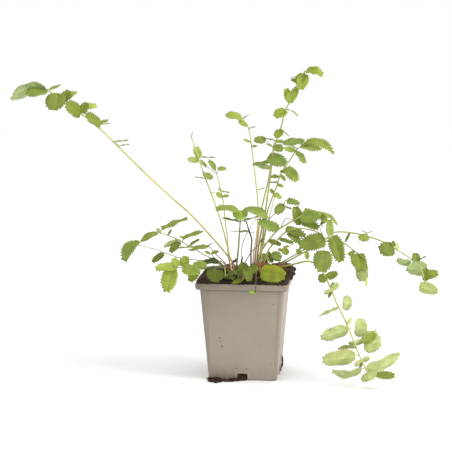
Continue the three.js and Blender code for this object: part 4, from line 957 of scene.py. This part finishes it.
def stem_material():
    """A streaked rind in the tint of each stem."""
    shading = Shading("stem")
    streak, broad = shading.noise(900, 3, stretch=(1.0, 1.0, 0.12)), shading.noise(90, 2)
    base = shading.times(shading.attribute("tint", "Color"), shading.shade(streak, 0.64, 0.84),
                         shading.shade(broad, 0.85, 1.12))
    shading.bump(streak, 0.00012, 0.6)
    return shading.surface(
        base, shading.spread(streak, 0.3, 0.7, 0.4, 0.58),
        Subsurface_Weight=0.15, Subsurface_Radius=(1.0, 0.8, 0.3), Subsurface_Scale=0.0006)


def pot_material():
    """Grey plastic: a dusty foot, painted shade in the groove under the rim, stains at the upper left, and a
    band of painted shade along the corners.
    """
    shading = Shading("moulded_plastic")
    x, y, z = shading.split(shading.place)
    mottle, grain = shading.noise(38, 4, 0.6), shading.noise(2600, 2)
    scuff = shading.noise(420, 5, 0.7, (1.0, 1.0, 0.35))
    lip = BODY_TOP * MM
    dust = shading.product(shading.spread(z, 0.0, 0.022, 1, 0, True),
                           shading.spread(scuff, 0.42, 0.68, 0, 0.45))
    # Painted shade: a dark band in the groove under the rim's overhang, where the lip's shadow falls.
    groove = shading.product(shading.spread(z, lip - 0.0016, lip - 0.0004, 0, 1, True),
                             shading.spread(z, lip + 0.0002, lip + 0.0008, 1, 0, True), 0.6)
    rim = shading.product(shading.spread(z, lip, lip + 0.003, 0, 1),
                          shading.spread(mottle, 0.3, 0.65, 0.35, 0.7))
    stain = shading.product(shading.spread(z, 0.045, 0.088, 0, 1, True),
                            shading.spread(x, -0.042, 0.03, 1, 0.15),
                            shading.spread(mottle, 0.3, 0.6, 0.1, 0.5))
    # Painted shade: a darker band along each corner, standing in for the shading of a facet turned from the
    # light.
    half = shading.spread(z, 0, lip, POT["base_width"] * MM / 2, POT["body_width"] * MM / 2)
    band = shading.spread(z, 0, lip, CORNER_SHADE_BAND["foot"] * MM, CORNER_SHADE_BAND["top"] * MM)
    inward = shading.math("MINIMUM", shading.math("ABSOLUTE", x), shading.math("ABSOLUTE", y))
    past = shading.math("SUBTRACT", shading.math("SUBTRACT", half, inward), band)
    corner = shading.product(shading.spread(past, -0.0004, 0.0003, 1, 0, True),
                             shading.spread(z, lip - 0.001, lip, 1, 0))
    wall = POT_COLOURS["wall"]
    base = shading.mix(shading.spread(mottle, 0.35, 0.65, 0, 1), opaque(wall, 0.94), opaque(wall, 1.01))
    base = shading.times(base, shading.shade(scuff, 0.97, 1.03))
    layers = {"dust": dust, "groove": groove, "rim": rim, "stain": stain}
    # The corner layer is painted shade, not a colour of the plastic.
    layers["corner"] = shading.product(corner, 0.75)
    for layer, share in layers.items():
        base = shading.mix(share, base, opaque(POT_COLOURS[layer]))
    relief = shading.math("ADD", shading.product(grain, 0.6), scuff)
    shading.bump(shading.math("SUBTRACT", relief, shading.product(corner, 4)), 0.00006, 0.5)
    return shading.surface(base, shading.spread(scuff, 0.3, 0.7, 0.42, 0.56), Specular_IOR_Level=0.45)


def soil_material():
    """Crumbly compost, with painted shade round the crown under the leaves, and darker towards the bottom.
    """
    shading = Shading("moist_compost")
    x, _, z = shading.split(shading.place)
    fine, broad = shading.noise(1400, 5, 0.7), shading.noise(260, 3)
    # Painted shade: darker soil round the crown, where the leaves shade it.
    aside = shading.math("ABSOLUTE", shading.math("SUBTRACT", x, 0.003))
    crown_shade_and_dark_bottom = shading.product(shading.spread(aside, 0.016, 0.032, 1, 0, True),
                           shading.spread(z, 0.09, 0.095, 0, 0.55))
    # Darker towards the bottom, below 60 mm.
    crown_shade_and_dark_bottom = shading.math("MAXIMUM", crown_shade_and_dark_bottom, shading.spread(z, 0.03, 0.06, 0.45, 0))
    dark, light, darkest = [opaque(colour) for colour in SOIL_COLOURS]
    base = shading.mix(shading.spread(fine, 0.3, 0.7, 0, 1), dark, light)
    base = shading.times(base, shading.shade(broad, 0.7, 1.25), shading.attribute("tint", "Color"))
    shading.bump(fine, 0.0006, 0.9)
    return shading.surface(
        shading.mix(crown_shade_and_dark_bottom, base, darkest), shading.spread(fine, 0.3, 0.7, 0.85, 1.0), Specular_IOR_Level=0.2)


def papery_material():
    """Dry brown sheaths with streaks along them."""
    shading = Shading("papery_sheath")
    streak = shading.noise(700, 4, 0.6, (1.0, 1.0, 0.2))
    dark, light = [opaque(colour) for colour in PAPERY_COLOURS]
    base = shading.mix(shading.spread(streak, 0.32, 0.68, 0, 1), dark, light)
    shading.bump(streak, 0.0002, 0.7)
    base = shading.times(base, shading.attribute("tint", "Color"))
    return shading.surface(base, shading.spread(streak, 0.3, 0.7, 0.55, 0.75))


def rounded_square(half, radius, height):
    """The points of a level square with round corners."""
    steps = POT["corner_steps"]
    points = []
    for corner in range(4):
        start = corner * math.pi / 2
        middle = start + math.pi / 4
        reach = (half - radius) * math.sqrt(2)
        for step in range(steps + 1):
            angle = start + step / steps * math.pi / 2
            x = math.cos(middle) * reach + math.cos(angle) * radius
            y = math.sin(middle) * reach + math.sin(angle) * radius
            points.append((x, y, height))
    return np.array(points)


def half_width_at(height):
    """Half the width of the pot's body."""
    return (POT["base_width"] + (POT["body_width"] - POT["base_width"]) * height / BODY_TOP) / 2


def pot_rings():
    """The rings of the pot from its round foot up the outside, over the rim and down the inside."""
    top, wall, foot = POT["height"], POT["wall"], POT["foot_round"]
    rim, rim_low = POT["rim_width"] / 2, POT["rim_bottom_width"] / 2
    radius, rim_radius = POT["body_radius"], POT["rim_radius"]
    rings = []
    for step in range(5):
        angle = step / 4 * math.pi / 2
        inset, height = foot * (1 - math.sin(angle)), foot * (1 - math.cos(angle))
        rings.append((half_width_at(height) - inset, radius - inset * 0.8, height))
    rings += [(half_width_at(height), radius, height) for height in (20, 45, 70, BODY_TOP - 2.5)]
    rings.append((half_width_at(BODY_TOP), radius, BODY_TOP - 0.05))
    for outward, height in ((-0.6, 0), (-0.2, 0.2), (0, 0.7), (0.1, 2.1), (0.35, 2.4)):
        rings.append((rim_low + outward, rim_radius, BODY_TOP + height))
    for inward, depth in ((0.1, 1.0), (0.05, 0.5), (0.3, 0.1), (0.6, 0)):
        rings.append((rim - inward, rim_radius, top - depth))
    for inward, depth in ((0.1, 0), (0.4, 0.3)):
        rings.append((rim - wall - inward, rim_radius - wall, top - depth))
    rings.append((rim_low - wall, rim_radius - wall, BODY_TOP + wall + 0.4))
    for inside, height in ((BODY_TOP, BODY_TOP - wall), (POT["floor"], POT["floor"])):
        rings.append((half_width_at(inside) - wall, radius - wall, height))
    return [rounded_square(*ring) for ring in rings]


BLOCK_FACES = [[0, 1, 3, 2], [4, 6, 7, 5], [0, 4, 5, 1], [2, 3, 7, 6], [0, 2, 6, 4], [1, 5, 7, 3]]


def block(low, high):
    """The corners of a block between two of them."""
    (x0, y0, z0), (x1, y1, z1) = low, high
    return np.array([(x, y, z) for x in (x0, x1) for y in (y0, y1) for z in (z0, z1)])


def turn_matrix(angle):
    """A turn about the upright axis."""
    cosine, sine = math.cos(angle), math.sin(angle)
    return np.array([[cosine, -sine, 0], [sine, cosine, 0], [0, 0, 1]])


def work_in(made, kind, **settings):
    """Works a modifier into the mesh of an object."""
    modifier = made.modifiers.new("change", kind)
    for key, value in settings.items():
        setattr(modifier, key, value)
    depsgraph = bpy.context.evaluated_depsgraph_get()
    result = bpy.data.meshes.new_from_object(made.evaluated_get(depsgraph))
    made.modifiers.clear()
    made.data = result


def combine(target, tool, operation):
    """A tool worked into an object by a boolean."""
    work_in(target, "BOOLEAN", operation=operation, solver="EXACT", object=tool)
    bpy.data.objects.remove(tool)


def pot_object():
    """The pot, with a raised frame and a notch in it at the foot of each wall."""
    made = mesh_object("pot_fine", *loft(pot_rings(), (0, 0, 0), (0, 0, POT["floor"])))
    half, height, border = NOTCH["width"] / 2, NOTCH["height"], NOTCH["frame"]
    foot = half_width_at(0)
    lean = (half_width_at(height) - foot) / height
    wide, low = half + border, POT["foot_round"] * 0.6
    plate = block((-wide, 0, low), (wide, NOTCH["thick"], height + border / 2))
    plate[:, 1] -= foot + NOTCH["proud"] - 0.02 + lean * plate[:, 2]
    cutter = block((-half, -foot - 2.5, -0.5), (half, -foot + NOTCH["depth"], height))
    turns = [turn_matrix(quarter * math.pi / 2).T for quarter in range(4)]
    for turn in turns:
        raised = mesh_object("raised", plate @ turn, BLOCK_FACES)
        work_in(raised, "BEVEL", width=NOTCH["round"] * MM, segments=2)
        combine(made, raised, "UNION")
    for turn in turns:
        combine(made, mesh_object("cutter", cutter @ turn, BLOCK_FACES), "DIFFERENCE")
    made.data.polygons.foreach_set("use_smooth", [True] * len(made.data.polygons))
    made.data.set_sharp_from_angle(angle=math.radians(POT["sharp_angle"]))
    made.data.materials.clear()
    made.data.materials.append(pot_material())
    settle(made, "pot")


def rough(point, scale, seed=0.0):
    """Smooth noise from -1 to 1 at a place in millimetres."""
    x, y, z = (float(part) / scale for part in point)
    return noise.noise(Vector((x + seed, y - seed, z + 0.7 * seed)))


def soil_surface(x, y):
    """Height of the crumbly soil."""
    place = (x, y, 0)
    relief = sum(height * rough(place, scale, seed) for height, scale, seed in SOIL_RELIEF)
    edge = max(abs(x), abs(y)) / (POT["rim_width"] / 2)
    return soil_height(x, y) + 0.5 + relief * (1 if edge < SOIL["calm_edge"] else 0.7)


def soil_outline(share):
    """The outline of the mound, or of a share of it."""
    points = []
    for x, y, _ in rounded_square(1, SOIL["corner"], 0):
        angle = math.atan2(y, x)
        half = share * (SOIL["reach"] + max(0, x) * SOIL["right_spill"] + 0.6 * math.sin(5 * angle + 0.6))
        half += share**8 * 0.6 * rough((x * 40, y * 40, 0), 2.2, 5)
        points.append((x * half, y * half, 0))
    return points


def refined(ring, extra=40):
    """The ring with points added along its straight sides."""
    points = []
    per_side = len(ring) // 4
    for index, point in enumerate(ring):
        points.append(point)
        if (index + 1) % per_side == 0:
            span = np.array(ring[(index + 1) % len(ring)]) - np.array(point)
            points += [tuple(np.array(point) + span * step / extra) for step in range(1, extra)]
    return np.array(points)


def soil_object(material):
    """The soil: rings up the inside of the pot and over its rim, and then inwards over the mound."""
    wall, floor, top = POT["wall"], POT["floor"], POT["height"]
    inset = wall + SOIL["clear"]
    radius, rim_radius = POT["body_radius"] - inset, POT["rim_radius"] - inset
    rim, rim_low = POT["rim_width"] / 2, POT["rim_bottom_width"] / 2
    inner = [
        (half_width_at(floor) - inset, radius, floor + 0.3),
        (half_width_at(12) - inset, radius, 12),
        (half_width_at(BODY_TOP) - inset, radius, BODY_TOP - wall),
        (rim_low - inset - 0.1, rim_radius, BODY_TOP + wall + 0.4),
        (rim - inset - 0.4, rim_radius, top + 0.3),
        (rim - 1.2, POT["rim_radius"], top + 0.4),
    ]
    rings = [refined(rounded_square(*ring)) for ring in inner]
    for ring in range(SOIL["rings"]):
        outline = refined(soil_outline(1 - (ring / SOIL["rings"]) ** SOIL["crowding"]))
        rings.append(np.array([(x, y, soil_surface(x, y)) for x, y, _ in outline]))
    skin = Skin()
    skin.add(*loft(rings, (0, 0, floor + 0.3), (0, 0, soil_surface(0, 0))), 0, (1, 1, 1))
    settle(skin.build("soil_fine", material), "soil")


def lump_shape():
    """The points and faces of a small ball."""
    shape = bmesh.new()
    bmesh.ops.create_icosphere(shape, subdivisions=2, radius=1)
    points = np.array([vertex.co[:] for vertex in shape.verts])
    faces = [[vertex.index for vertex in face.verts] for face in shape.faces]
    shape.free()
    return points, faces


LUMP_POINTS, LUMP_FACES = lump_shape()


def add_lump(skin, draw, place, size, tint):
    """An irregular crumb."""
    seed = draw.uniform(0, 90)
    swell = np.array([1 + LUMP["swell"] * rough(point, LUMP["bump_size"], seed) for point in LUMP_POINTS])
    squash = np.array([draw.uniform(*LUMP["squash"]) for _ in range(3)])
    points = LUMP_POINTS * swell[:, None] * squash * size / 2
    angle, tilt = draw.uniform(*ANY_ANGLE), draw.uniform(-LUMP["tilt"], LUMP["tilt"])
    lean = np.array([[1, 0, 0], [0, math.cos(tilt), -math.sin(tilt)], [0, math.sin(tilt), math.cos(tilt)]])
    skin.add(points @ (turn_matrix(angle) @ lean).T + np.array(place), LUMP_FACES, 0, tint)


def add_crumb(skin, draw, place, size, light=1.0):
    """A lump of soil of a random grey to brown."""
    level = draw.choice(CRUMB_LEVELS) * light
    warm = draw.uniform(*CRUMB_WARMTH)
    add_lump(skin, draw, place, size, level * np.array([1 + warm, 1, 1 - warm]))


def crumbs_object(material):
    """Crumbs on the soil, heaped at the back right, and past the right and the front edge of the rim."""
    draw = random.Random(SEEDS["crumbs"])
    skin = Skin()
    reach, top = POT["rim_width"] / 2 - 1.5, POT["height"]
    for _ in range(CRUMBS["soil"]):
        x, y = draw.uniform(-reach, reach), draw.uniform(-reach, reach)
        size = draw.choice(CRUMB_SIZES["soil"])
        if max(abs(x), abs(y)) > reach - 2.5 and size > 1.5:
            size = CRUMB_SIZES["edge"]
        add_crumb(skin, draw, (x, y, soil_surface(x, y) + 0.1 * size), size)
    for _ in range(CRUMBS["heap"]):
        x, y = draw.uniform(2, reach - 1), draw.uniform(22, reach - 2)
        size = draw.uniform(*CRUMB_SIZES["heap"])
        lift = draw.uniform(0, 0.45) * size
        add_crumb(skin, draw, (x, y, soil_surface(x, y) + lift), size)
    for _ in range(CRUMBS["right"]):
        x, y = draw.uniform(reach - 1.5, reach + 2.2), draw.uniform(-12, reach - 1)
        size = draw.uniform(*CRUMB_SIZES["right"])
        add_crumb(skin, draw, (x, y, top + draw.uniform(0.4, 2.6)), size)
    for _ in range(CRUMBS["front"]):
        x, size = draw.uniform(-reach, reach), draw.choice(CRUMB_SIZES["front"])
        outward = draw.uniform(-0.6, 1.8)
        place = (x, -reach - outward, top + 0.25 * size - 0.5 * max(0, outward - 1.2))
        add_crumb(skin, draw, place, size, 1.2)
    settle(skin.build("soil_crumbs", material))


def fibres_object(material):
    """Thin roots and bark fibres on the soil."""
    draw = random.Random(SEEDS["fibres"])
    skin = Skin()
    reach = POT["rim_width"] / 2 - 6
    for _ in range(CRUMBS["fibres"]):
        x, y, angle = draw.uniform(-reach, reach), draw.uniform(-reach, reach), draw.uniform(*ANY_ANGLE)
        length, curl = draw.uniform(3, 9), draw.uniform(-0.5, 0.5)
        stops = []
        for lift in (-0.2, 0.35, 0.35, -0.2):
            stops.append(np.array([x, y, soil_surface(x, y) + lift]))
            angle += curl
            x = max(-reach, min(reach, x + math.cos(angle) * length / 3))
            y = max(-reach, min(reach, y + math.sin(angle) * length / 3))
        if np.linalg.norm(stops[1] - stops[0]) < FIBRE["shortest"]:
            continue
        line = spaced_curve(stops, FIBRE["spacing"])
        radii = np.linspace(FIBRE["thick"], FIBRE["thin"], len(line))
        tube(skin, line, radii, 0, linear(draw.choice(FIBRE_COLOURS)), FIBRE["sides"])
    settle(skin.build("soil_fibres", material))


def spill_ring(along):
    """A cross-section of the spill, from the pot's foot outwards."""
    x = SPILL["left"] + (SPILL["right"] - SPILL["left"]) * along
    swell = math.sqrt(math.sin(math.pi * along))
    wide_wave = 1 - SPILL["wide_wave"] * (1 - math.cos(SPILL["wide_turns"] * along + 1))
    wide = SPILL["wide"] * swell * wide_wave * (1 + SPILL["wide_rough"] * rough((x, 0, 0), 1.6, 2))
    tall_wave = 1 - SPILL["tall_wave"] * (1 - math.cos(SPILL["tall_turns"] * along))
    tall = SPILL["tall"] * swell * tall_wave * (1 + SPILL["tall_rough"] * rough((x, 0, 0), 1.3, 6))
    radius = POT["body_radius"]
    flat = half_width_at(0) - radius
    set_back = min(max(0.0, -x - flat), 0.94 * radius)
    y = -(flat + math.sqrt(radius**2 - set_back**2)) - SPILL["from_wall"]
    ring = []
    for share, level in SPILL["profile"]:
        bump = SPILL["bump"] * rough((x, share * 9, 4), 1.2, 8) * (1 if level > 0.1 else 0)
        ring.append((x, y - wide * share, max(0.05, tall * level + bump)))
    return np.array(ring)


def spill_object(material):
    """Soil washed out of the front opening: a thin wedge along the foot of the pot, with crumbs in it."""
    draw = random.Random(SEEDS["spill"])
    skin = Skin()
    count = SPILL["steps"]
    rings = [spill_ring(step / count) for step in range(1, count)]
    skin.add(*loft(rings, rings[0].mean(0) - (1, 0, 0), rings[-1].mean(0) + (1, 0, 0)), 0, (1, 1, 1))
    for _ in range(CRUMBS["spill"]):
        ring = rings[int(draw.betavariate(1.1, 1.6) * (count - 2))]
        point = ring[draw.randrange(2, 8)] + np.array([draw.uniform(-0.5, 0.5), draw.uniform(-0.6, 0.3), 0])
        size = draw.choice(CRUMB_SIZES["spill"])
        add_crumb(skin, draw, (point[0], point[1], max(point[2], size * 0.3)), size)
    skin.keep_above(0.03)
    settle(skin.build("soil_spill_fine", material), "soil_spill")


def wall_point(column, row, side):
    """The point of the pot's front or right wall that is seen at a column and a row."""
    ray = seen(column, row, 0) - EYE
    foot = half_width_at(0)
    slope = half_width_at(1) - foot
    if side == "front":
        travel = -(foot + EYE[1] + slope * EYE[2]) / (ray[1] + slope * ray[2])
    else:
        travel = (foot + slope * EYE[2] - EYE[0]) / (ray[0] - slope * ray[2])
    x, y, z = EYE + ray * travel
    return np.array([min(x, foot + slope * z), min(y, foot - 1), max(z, 1.0)])


# Dirt on a side of the pot: its column and row, its size and how bright it is.
DIRT = {
    "front": [
        (219.5, 338, 1.3, 2.3), (220.8, 341.2, 0.9, 2.3), (222.6, 346.2, 1.6, 2.4), (273.3, 304.4, 1.2, 1.2),
        (270.6, 364.4, 1.0, 2.2), (236.6, 368.3, 1.1, 2.0), (246.4, 368.8, 1.2, 1.9), (232.4, 369, 0.7, 2.2),
        (258, 296, 0.6, 2.2), (268, 316, 0.5, 2.2),
    ],
    "right": [
        (280.4, 355.4, 1.4, 0.5), (282.6, 344.3, 1.2, 0.6), (282.3, 347.5, 1.0, 0.7),
        (283.2, 353.3, 1.3, 0.6), (279.3, 367.8, 1.0, 2.0), (279.2, 371.8, 1.3, 1.8),
    ],
}
CLUMP = [(283.2, 358), (283.4, 360), (283.6, 362), (283.2, 364), (282.6, 366), (281.8, 368), (281.2, 369.5)]


def add_dirt(skin, draw, side, column, row, size, level):
    """Three lumps close together on a wall of the pot."""
    place = wall_point(column, row, side)
    for _ in range(3):
        shift = np.array([0, draw.uniform(-0.4, 0.4), draw.uniform(-0.4, 0.4)]) * size
        shift = shift if side == "right" else shift[[1, 0, 2]]
        lump_size = size * draw.uniform(*CRUMB_SIZES["dirt"])
        add_lump(skin, draw, place + shift, lump_size, DIRT_TINT * level * draw.uniform(0.85, 1.15))


def dirt_object(material):
    """Crumbs in the front notch, dirt on the walls, clumps on the right one, crumbs left of the spill."""
    draw = random.Random(SEEDS["dirt"])
    skin = Skin()
    for _ in range(CRUMBS["notch"]):
        place = (draw.uniform(-4.6, 4.6), 0.6 - half_width_at(3), draw.uniform(0.9, 6.4))
        add_crumb(skin, draw, place, draw.uniform(*CRUMB_SIZES["notch"]), 1.4)
    for side, spots in DIRT.items():
        for spot in spots:
            add_dirt(skin, draw, side, *spot)
    for column, row in CLUMP:
        for _ in range(CRUMBS["clump"]):
            place = wall_point(column + draw.uniform(-1.9, 0.4), row + draw.uniform(-0.8, 0.8), "right")
            add_crumb(skin, draw, place, draw.uniform(*CRUMB_SIZES["clump"]), 0.7)
    for _ in range(CRUMBS["left"]):
        x, ahead = draw.gauss(-26.4, 3.6), draw.betavariate(1.2, 2.2)
        size = draw.uniform(*CRUMB_SIZES["left"])
        y = -half_width_at(0) - 1 - 14 * ahead
        place = (max(-33.6, min(-17.0, x)), y, size * 0.3 + 1.6 * (1 - ahead) ** 3)
        add_crumb(skin, draw, place, size, 0.8)
    skin.keep_above(0.05)
    settle(skin.build("pot_dirt", material))


# Dry sheaths, old stalks and scraps round the crown: a line of columns, rows and depths, a radius at its
# start, middle and end, and a colour.
SHEATHS = [
    ([(258, 271.5, 25), (259.3, 266.5, 25), (262, 262.8, 24), (265.4, 259.2, 23)],
     (1.1, 2.5, 0.5), (198, 128, 84)),
    ([(256.6, 270, 24), (257.2, 266.8, 24), (259.6, 264, 23)], (0.8, 1.5, 0.6), (150, 88, 56)),
    ([(262.5, 267, 23), (266.2, 264, 22), (268, 262.5, 21)], (0.8, 1.4, 0.4), (140, 84, 54)),
    ([(266.3, 258.7, 22), (266.4, 261, 22), (265.4, 263.6, 22)], (0.4, 0.9, 0.5), (82, 40, 32)),
    ([(251.5, 265.5, 20), (253.6, 264, 19), (256, 264.4, 18)], (0.6, 1.3, 0.5), (180, 118, 86)),
    ([(277, 274.5, 18), (278, 268, 18), (281.5, 266, 17), (285, 264.6, 16)],
     (0.7, 1.6, 0.6), (150, 88, 54)),
    ([(271.5, 273.7, 12), (272, 264.8, 12), (277, 263.6, 11), (281, 263.8, 10)],
     (0.5, 1.2, 0.5), (104, 60, 42)),
    ([(224.6, 265.8, 20), (227.6, 265, 19), (231, 264.4, 18)], (0.6, 1.4, 0.4), (104, 60, 52)),
    ([(225.5, 274.5, 22), (226, 269.5, 22), (229, 269, 22), (231.5, 270.5, 22)],
     (0.5, 1.1, 0.4), (96, 58, 46)),
    ([(255.4, 277.5, 40), (256.6, 278.6, 41), (258.6, 277.2, 40)], (0.5, 0.9, 0.4), (166, 88, 54)),
    ([(242.2, 274.6, 43), (243.2, 276, 43.4), (243.4, 277.8, 43)], (0.5, 1.3, 0.5), (132, 100, 84)),
]
SCRAPS = [
    ([(230, 262.4, 27), (231, 267.5, 28), (232.6, 271.4, 29), (236, 273.8, 30), (237.5, 275.8, 30.5)],
     (0.85, 0.9, 0.5), (222, 188, 142)),
    ([(225, 277.5, 39), (225.2, 271, 37), (224, 266.8, 35)], (0.7, 0.7, 0.4), (168, 172, 72)),
    ([(233.2, 260.2, 14), (234.2, 261.4, 14), (235.9, 260.4, 14), (235.6, 258.4, 14)],
     (0.8, 1.4, 0.8), (44, 32, 34)),
    ([(231.3, 264.4, 16), (232.4, 262.6, 15), (233.6, 261.2, 14)], (0.5, 0.45, 0.4), (60, 44, 44)),
    ([(231.5, 264.6, 16), (231.6, 263.2, 16)], (0.6, 0.6, 0.4), (48, 38, 38)),
    ([(241.6, 273, 8), (241.8, 268, 8), (242, 263, 8), (242, 260.6, 8),
      (242.6, 258.5, 8), (242.8, 256.2, 8)],
     (0.8, 0.7, 0.5), (60, 60, 72)),
    ([(246, 272.5, 4), (246.4, 264.6, 4), (246.9, 263, 4)], (0.6, 0.8, 0.4), (48, 44, 50)),
    ([(240, 275, 20.5), (240.3, 268, 20), (240.8, 264.5, 19), (241.8, 261, 18)],
     (0.5, 0.7, 0.3), (96, 98, 88)),
    ([(235.5, 276, 30), (236.5, 271, 30), (238.8, 269.4, 30), (240.5, 268.6, 30)],
     (0.4, 0.5, 0.3), (206, 196, 160)),
    ([(244, 264, 30), (247.3, 258.5, 29), (251.3, 252, 28), (257, 246.2, 27), (262.3, 240, 26)],
     (0.55, 0.45, 0.35), (96, 108, 62)),
    ([(264.5, 272.5, 3), (266, 266.5, 2.5), (268.5, 260.5, 2), (275.5, 253.5, 1),
      (282, 249.3, 0), (291, 245.5, -2), (297, 241.5, -3)],
     (0.5, 0.45, 0.35), (168, 160, 96)),
    ([(266, 270, -13), (266.5, 262, -14), (268.4, 252, -18), (272.5, 244, -24)],
     (0.4, 0.4, 0.25), (110, 104, 96)),
    ([(277, 268.8, -20), (283.5, 262.5, -22), (293, 256, -26), (303, 252, -30)],
     (0.35, 0.35, 0.2), (176, 168, 176)),
    ([(205, 268.8, 34), (213, 268.4, 34), (222, 268, 30)], (0.4, 0.45, 0.4), (116, 128, 70)),
]

# Young shoots between the stems, like small fronds.
SHOOTS = [
    frond("shoot_left", "leaf_dark", 0.4, (228, 33), [(227.6, 274.5, 37)], [
        leaf((227.5, 274.5), (235.8, 272.2), 3, 40, 0.62, shade_and_tone=-1.6),
        leaf((227.6, 274.8), (221.4, 277.8), 4, 30, 0.6, shade_and_tone=-1.5),
        leaf((228.2, 275), (234.2, 279), 5, 35, 0.7, shade_and_tone=-1.6),
        leaf((227.8, 275.2), (228.6, 279.6), 5, 20, 0.8, shade_and_tone=-1.3),
    ]),
]


def crown_object(name, strips, material, sides, base=(255, 255, 255)):
    """Dry or young strips round the crown, each a tube along a line."""
    skin = Skin()
    for stops, radii, colour in strips:
        line = spaced_curve([seen(*stop) for stop in stops], 0.6)
        tapered = np.interp(np.linspace(0, 1, len(line)), (0, 0.5, 1), radii)
        tube(skin, line, tapered, 0, linear(colour) / linear(base), sides)
    settle(skin.build(name, material))


def camera():
    """The view of the photo."""
    data = bpy.data.cameras.new("view")
    data.sensor_fit = "HORIZONTAL"
    data.sensor_width = 36
    data.lens = data.sensor_width * VIEW["focal"] / (2 * VIEW["centre"])
    data.clip_end = 20
    matrix = np.eye(4)
    matrix[:3, :] = np.stack([RIGHT, UP, BACK, EYE * MM], 1)
    bpy.context.scene.camera = added("view", data)
    bpy.context.scene.camera.matrix_world = matrix.T.tolist()


def area_light(name, place, size, power):
    """A round light that shines on the top of the pot."""
    data = bpy.data.lights.new(name, "AREA")
    data.shape = "DISK"
    data.size = size
    data.energy = power
    made = added(name, data)
    made.location = place
    made.rotation_euler = (Vector((0, 0, 0.1)) - Vector(place)).to_track_quat("-Z", "Y").to_euler()


def studio():
    """White light from all sides, a key light on the right, and a pale floor that is whiter farther off."""
    scene = bpy.context.scene
    scene.view_settings.view_transform = "Standard"
    scene.world = bpy.data.worlds.new("studio")
    scene.world.use_nodes = True
    background = scene.world.node_tree.nodes["Background"]
    background.inputs["Color"].default_value = (1, 1, 1, 1)
    background.inputs["Strength"].default_value = 1.0
    area_light("key", (1.6, -0.35, 0.85), 1.1, 28)
    area_light("top", (-0.4, -0.7, 1.6), 0.9, 5)
    half = 3000
    corners = [(-half, -half, 0), (half, -half, 0), (half, half, 0), (-half, half, 0)]
    floor = mesh_object("floor", corners, [[0, 1, 2, 3]])
    shading = Shading("pale_floor")
    away = shading.node("ShaderNodeVectorMath", operation="LENGTH")
    shading.put(away.inputs[0], shading.place)
    near_pot = shading.mix(shading.noise(6, 2), (0.85, 0.85, 0.85, 1), (0.87, 0.87, 0.87, 1))
    farther = shading.spread(away.outputs["Value"], 0.1, 0.9, 0, 1, True)
    colour = shading.mix(farther, near_pot, (0.985, 0.985, 0.985, 1))
    roughness = shading.spread(shading.noise(40, 2), 0, 1, 0.6, 0.7)
    floor.data.materials.append(shading.surface(colour, roughness))


camera()
studio()
BLADE_MATERIALS = {look: [leaf_material(look, side) for side in VEINS] for look in LOOKS}
STEM_MATERIAL = stem_material()
SOIL_MATERIAL = soil_material()
for grown in FRONDS:
    frond_object(grown, [*BLADE_MATERIALS[grown["look"]], STEM_MATERIAL])
pot_object()
soil_object(SOIL_MATERIAL)
crumbs_object(SOIL_MATERIAL)
fibres_object(STEM_MATERIAL)
spill_object(SOIL_MATERIAL)
dirt_object(SOIL_MATERIAL)
crown_object("crown_sheaths", SHEATHS, papery_material(), 7, SHEATH_COLOUR)
crown_object("crown_scraps", SCRAPS, STEM_MATERIAL, 6)
for grown in SHOOTS:
    frond_object(grown, [*BLADE_MATERIALS[grown["look"]], STEM_MATERIAL], False)
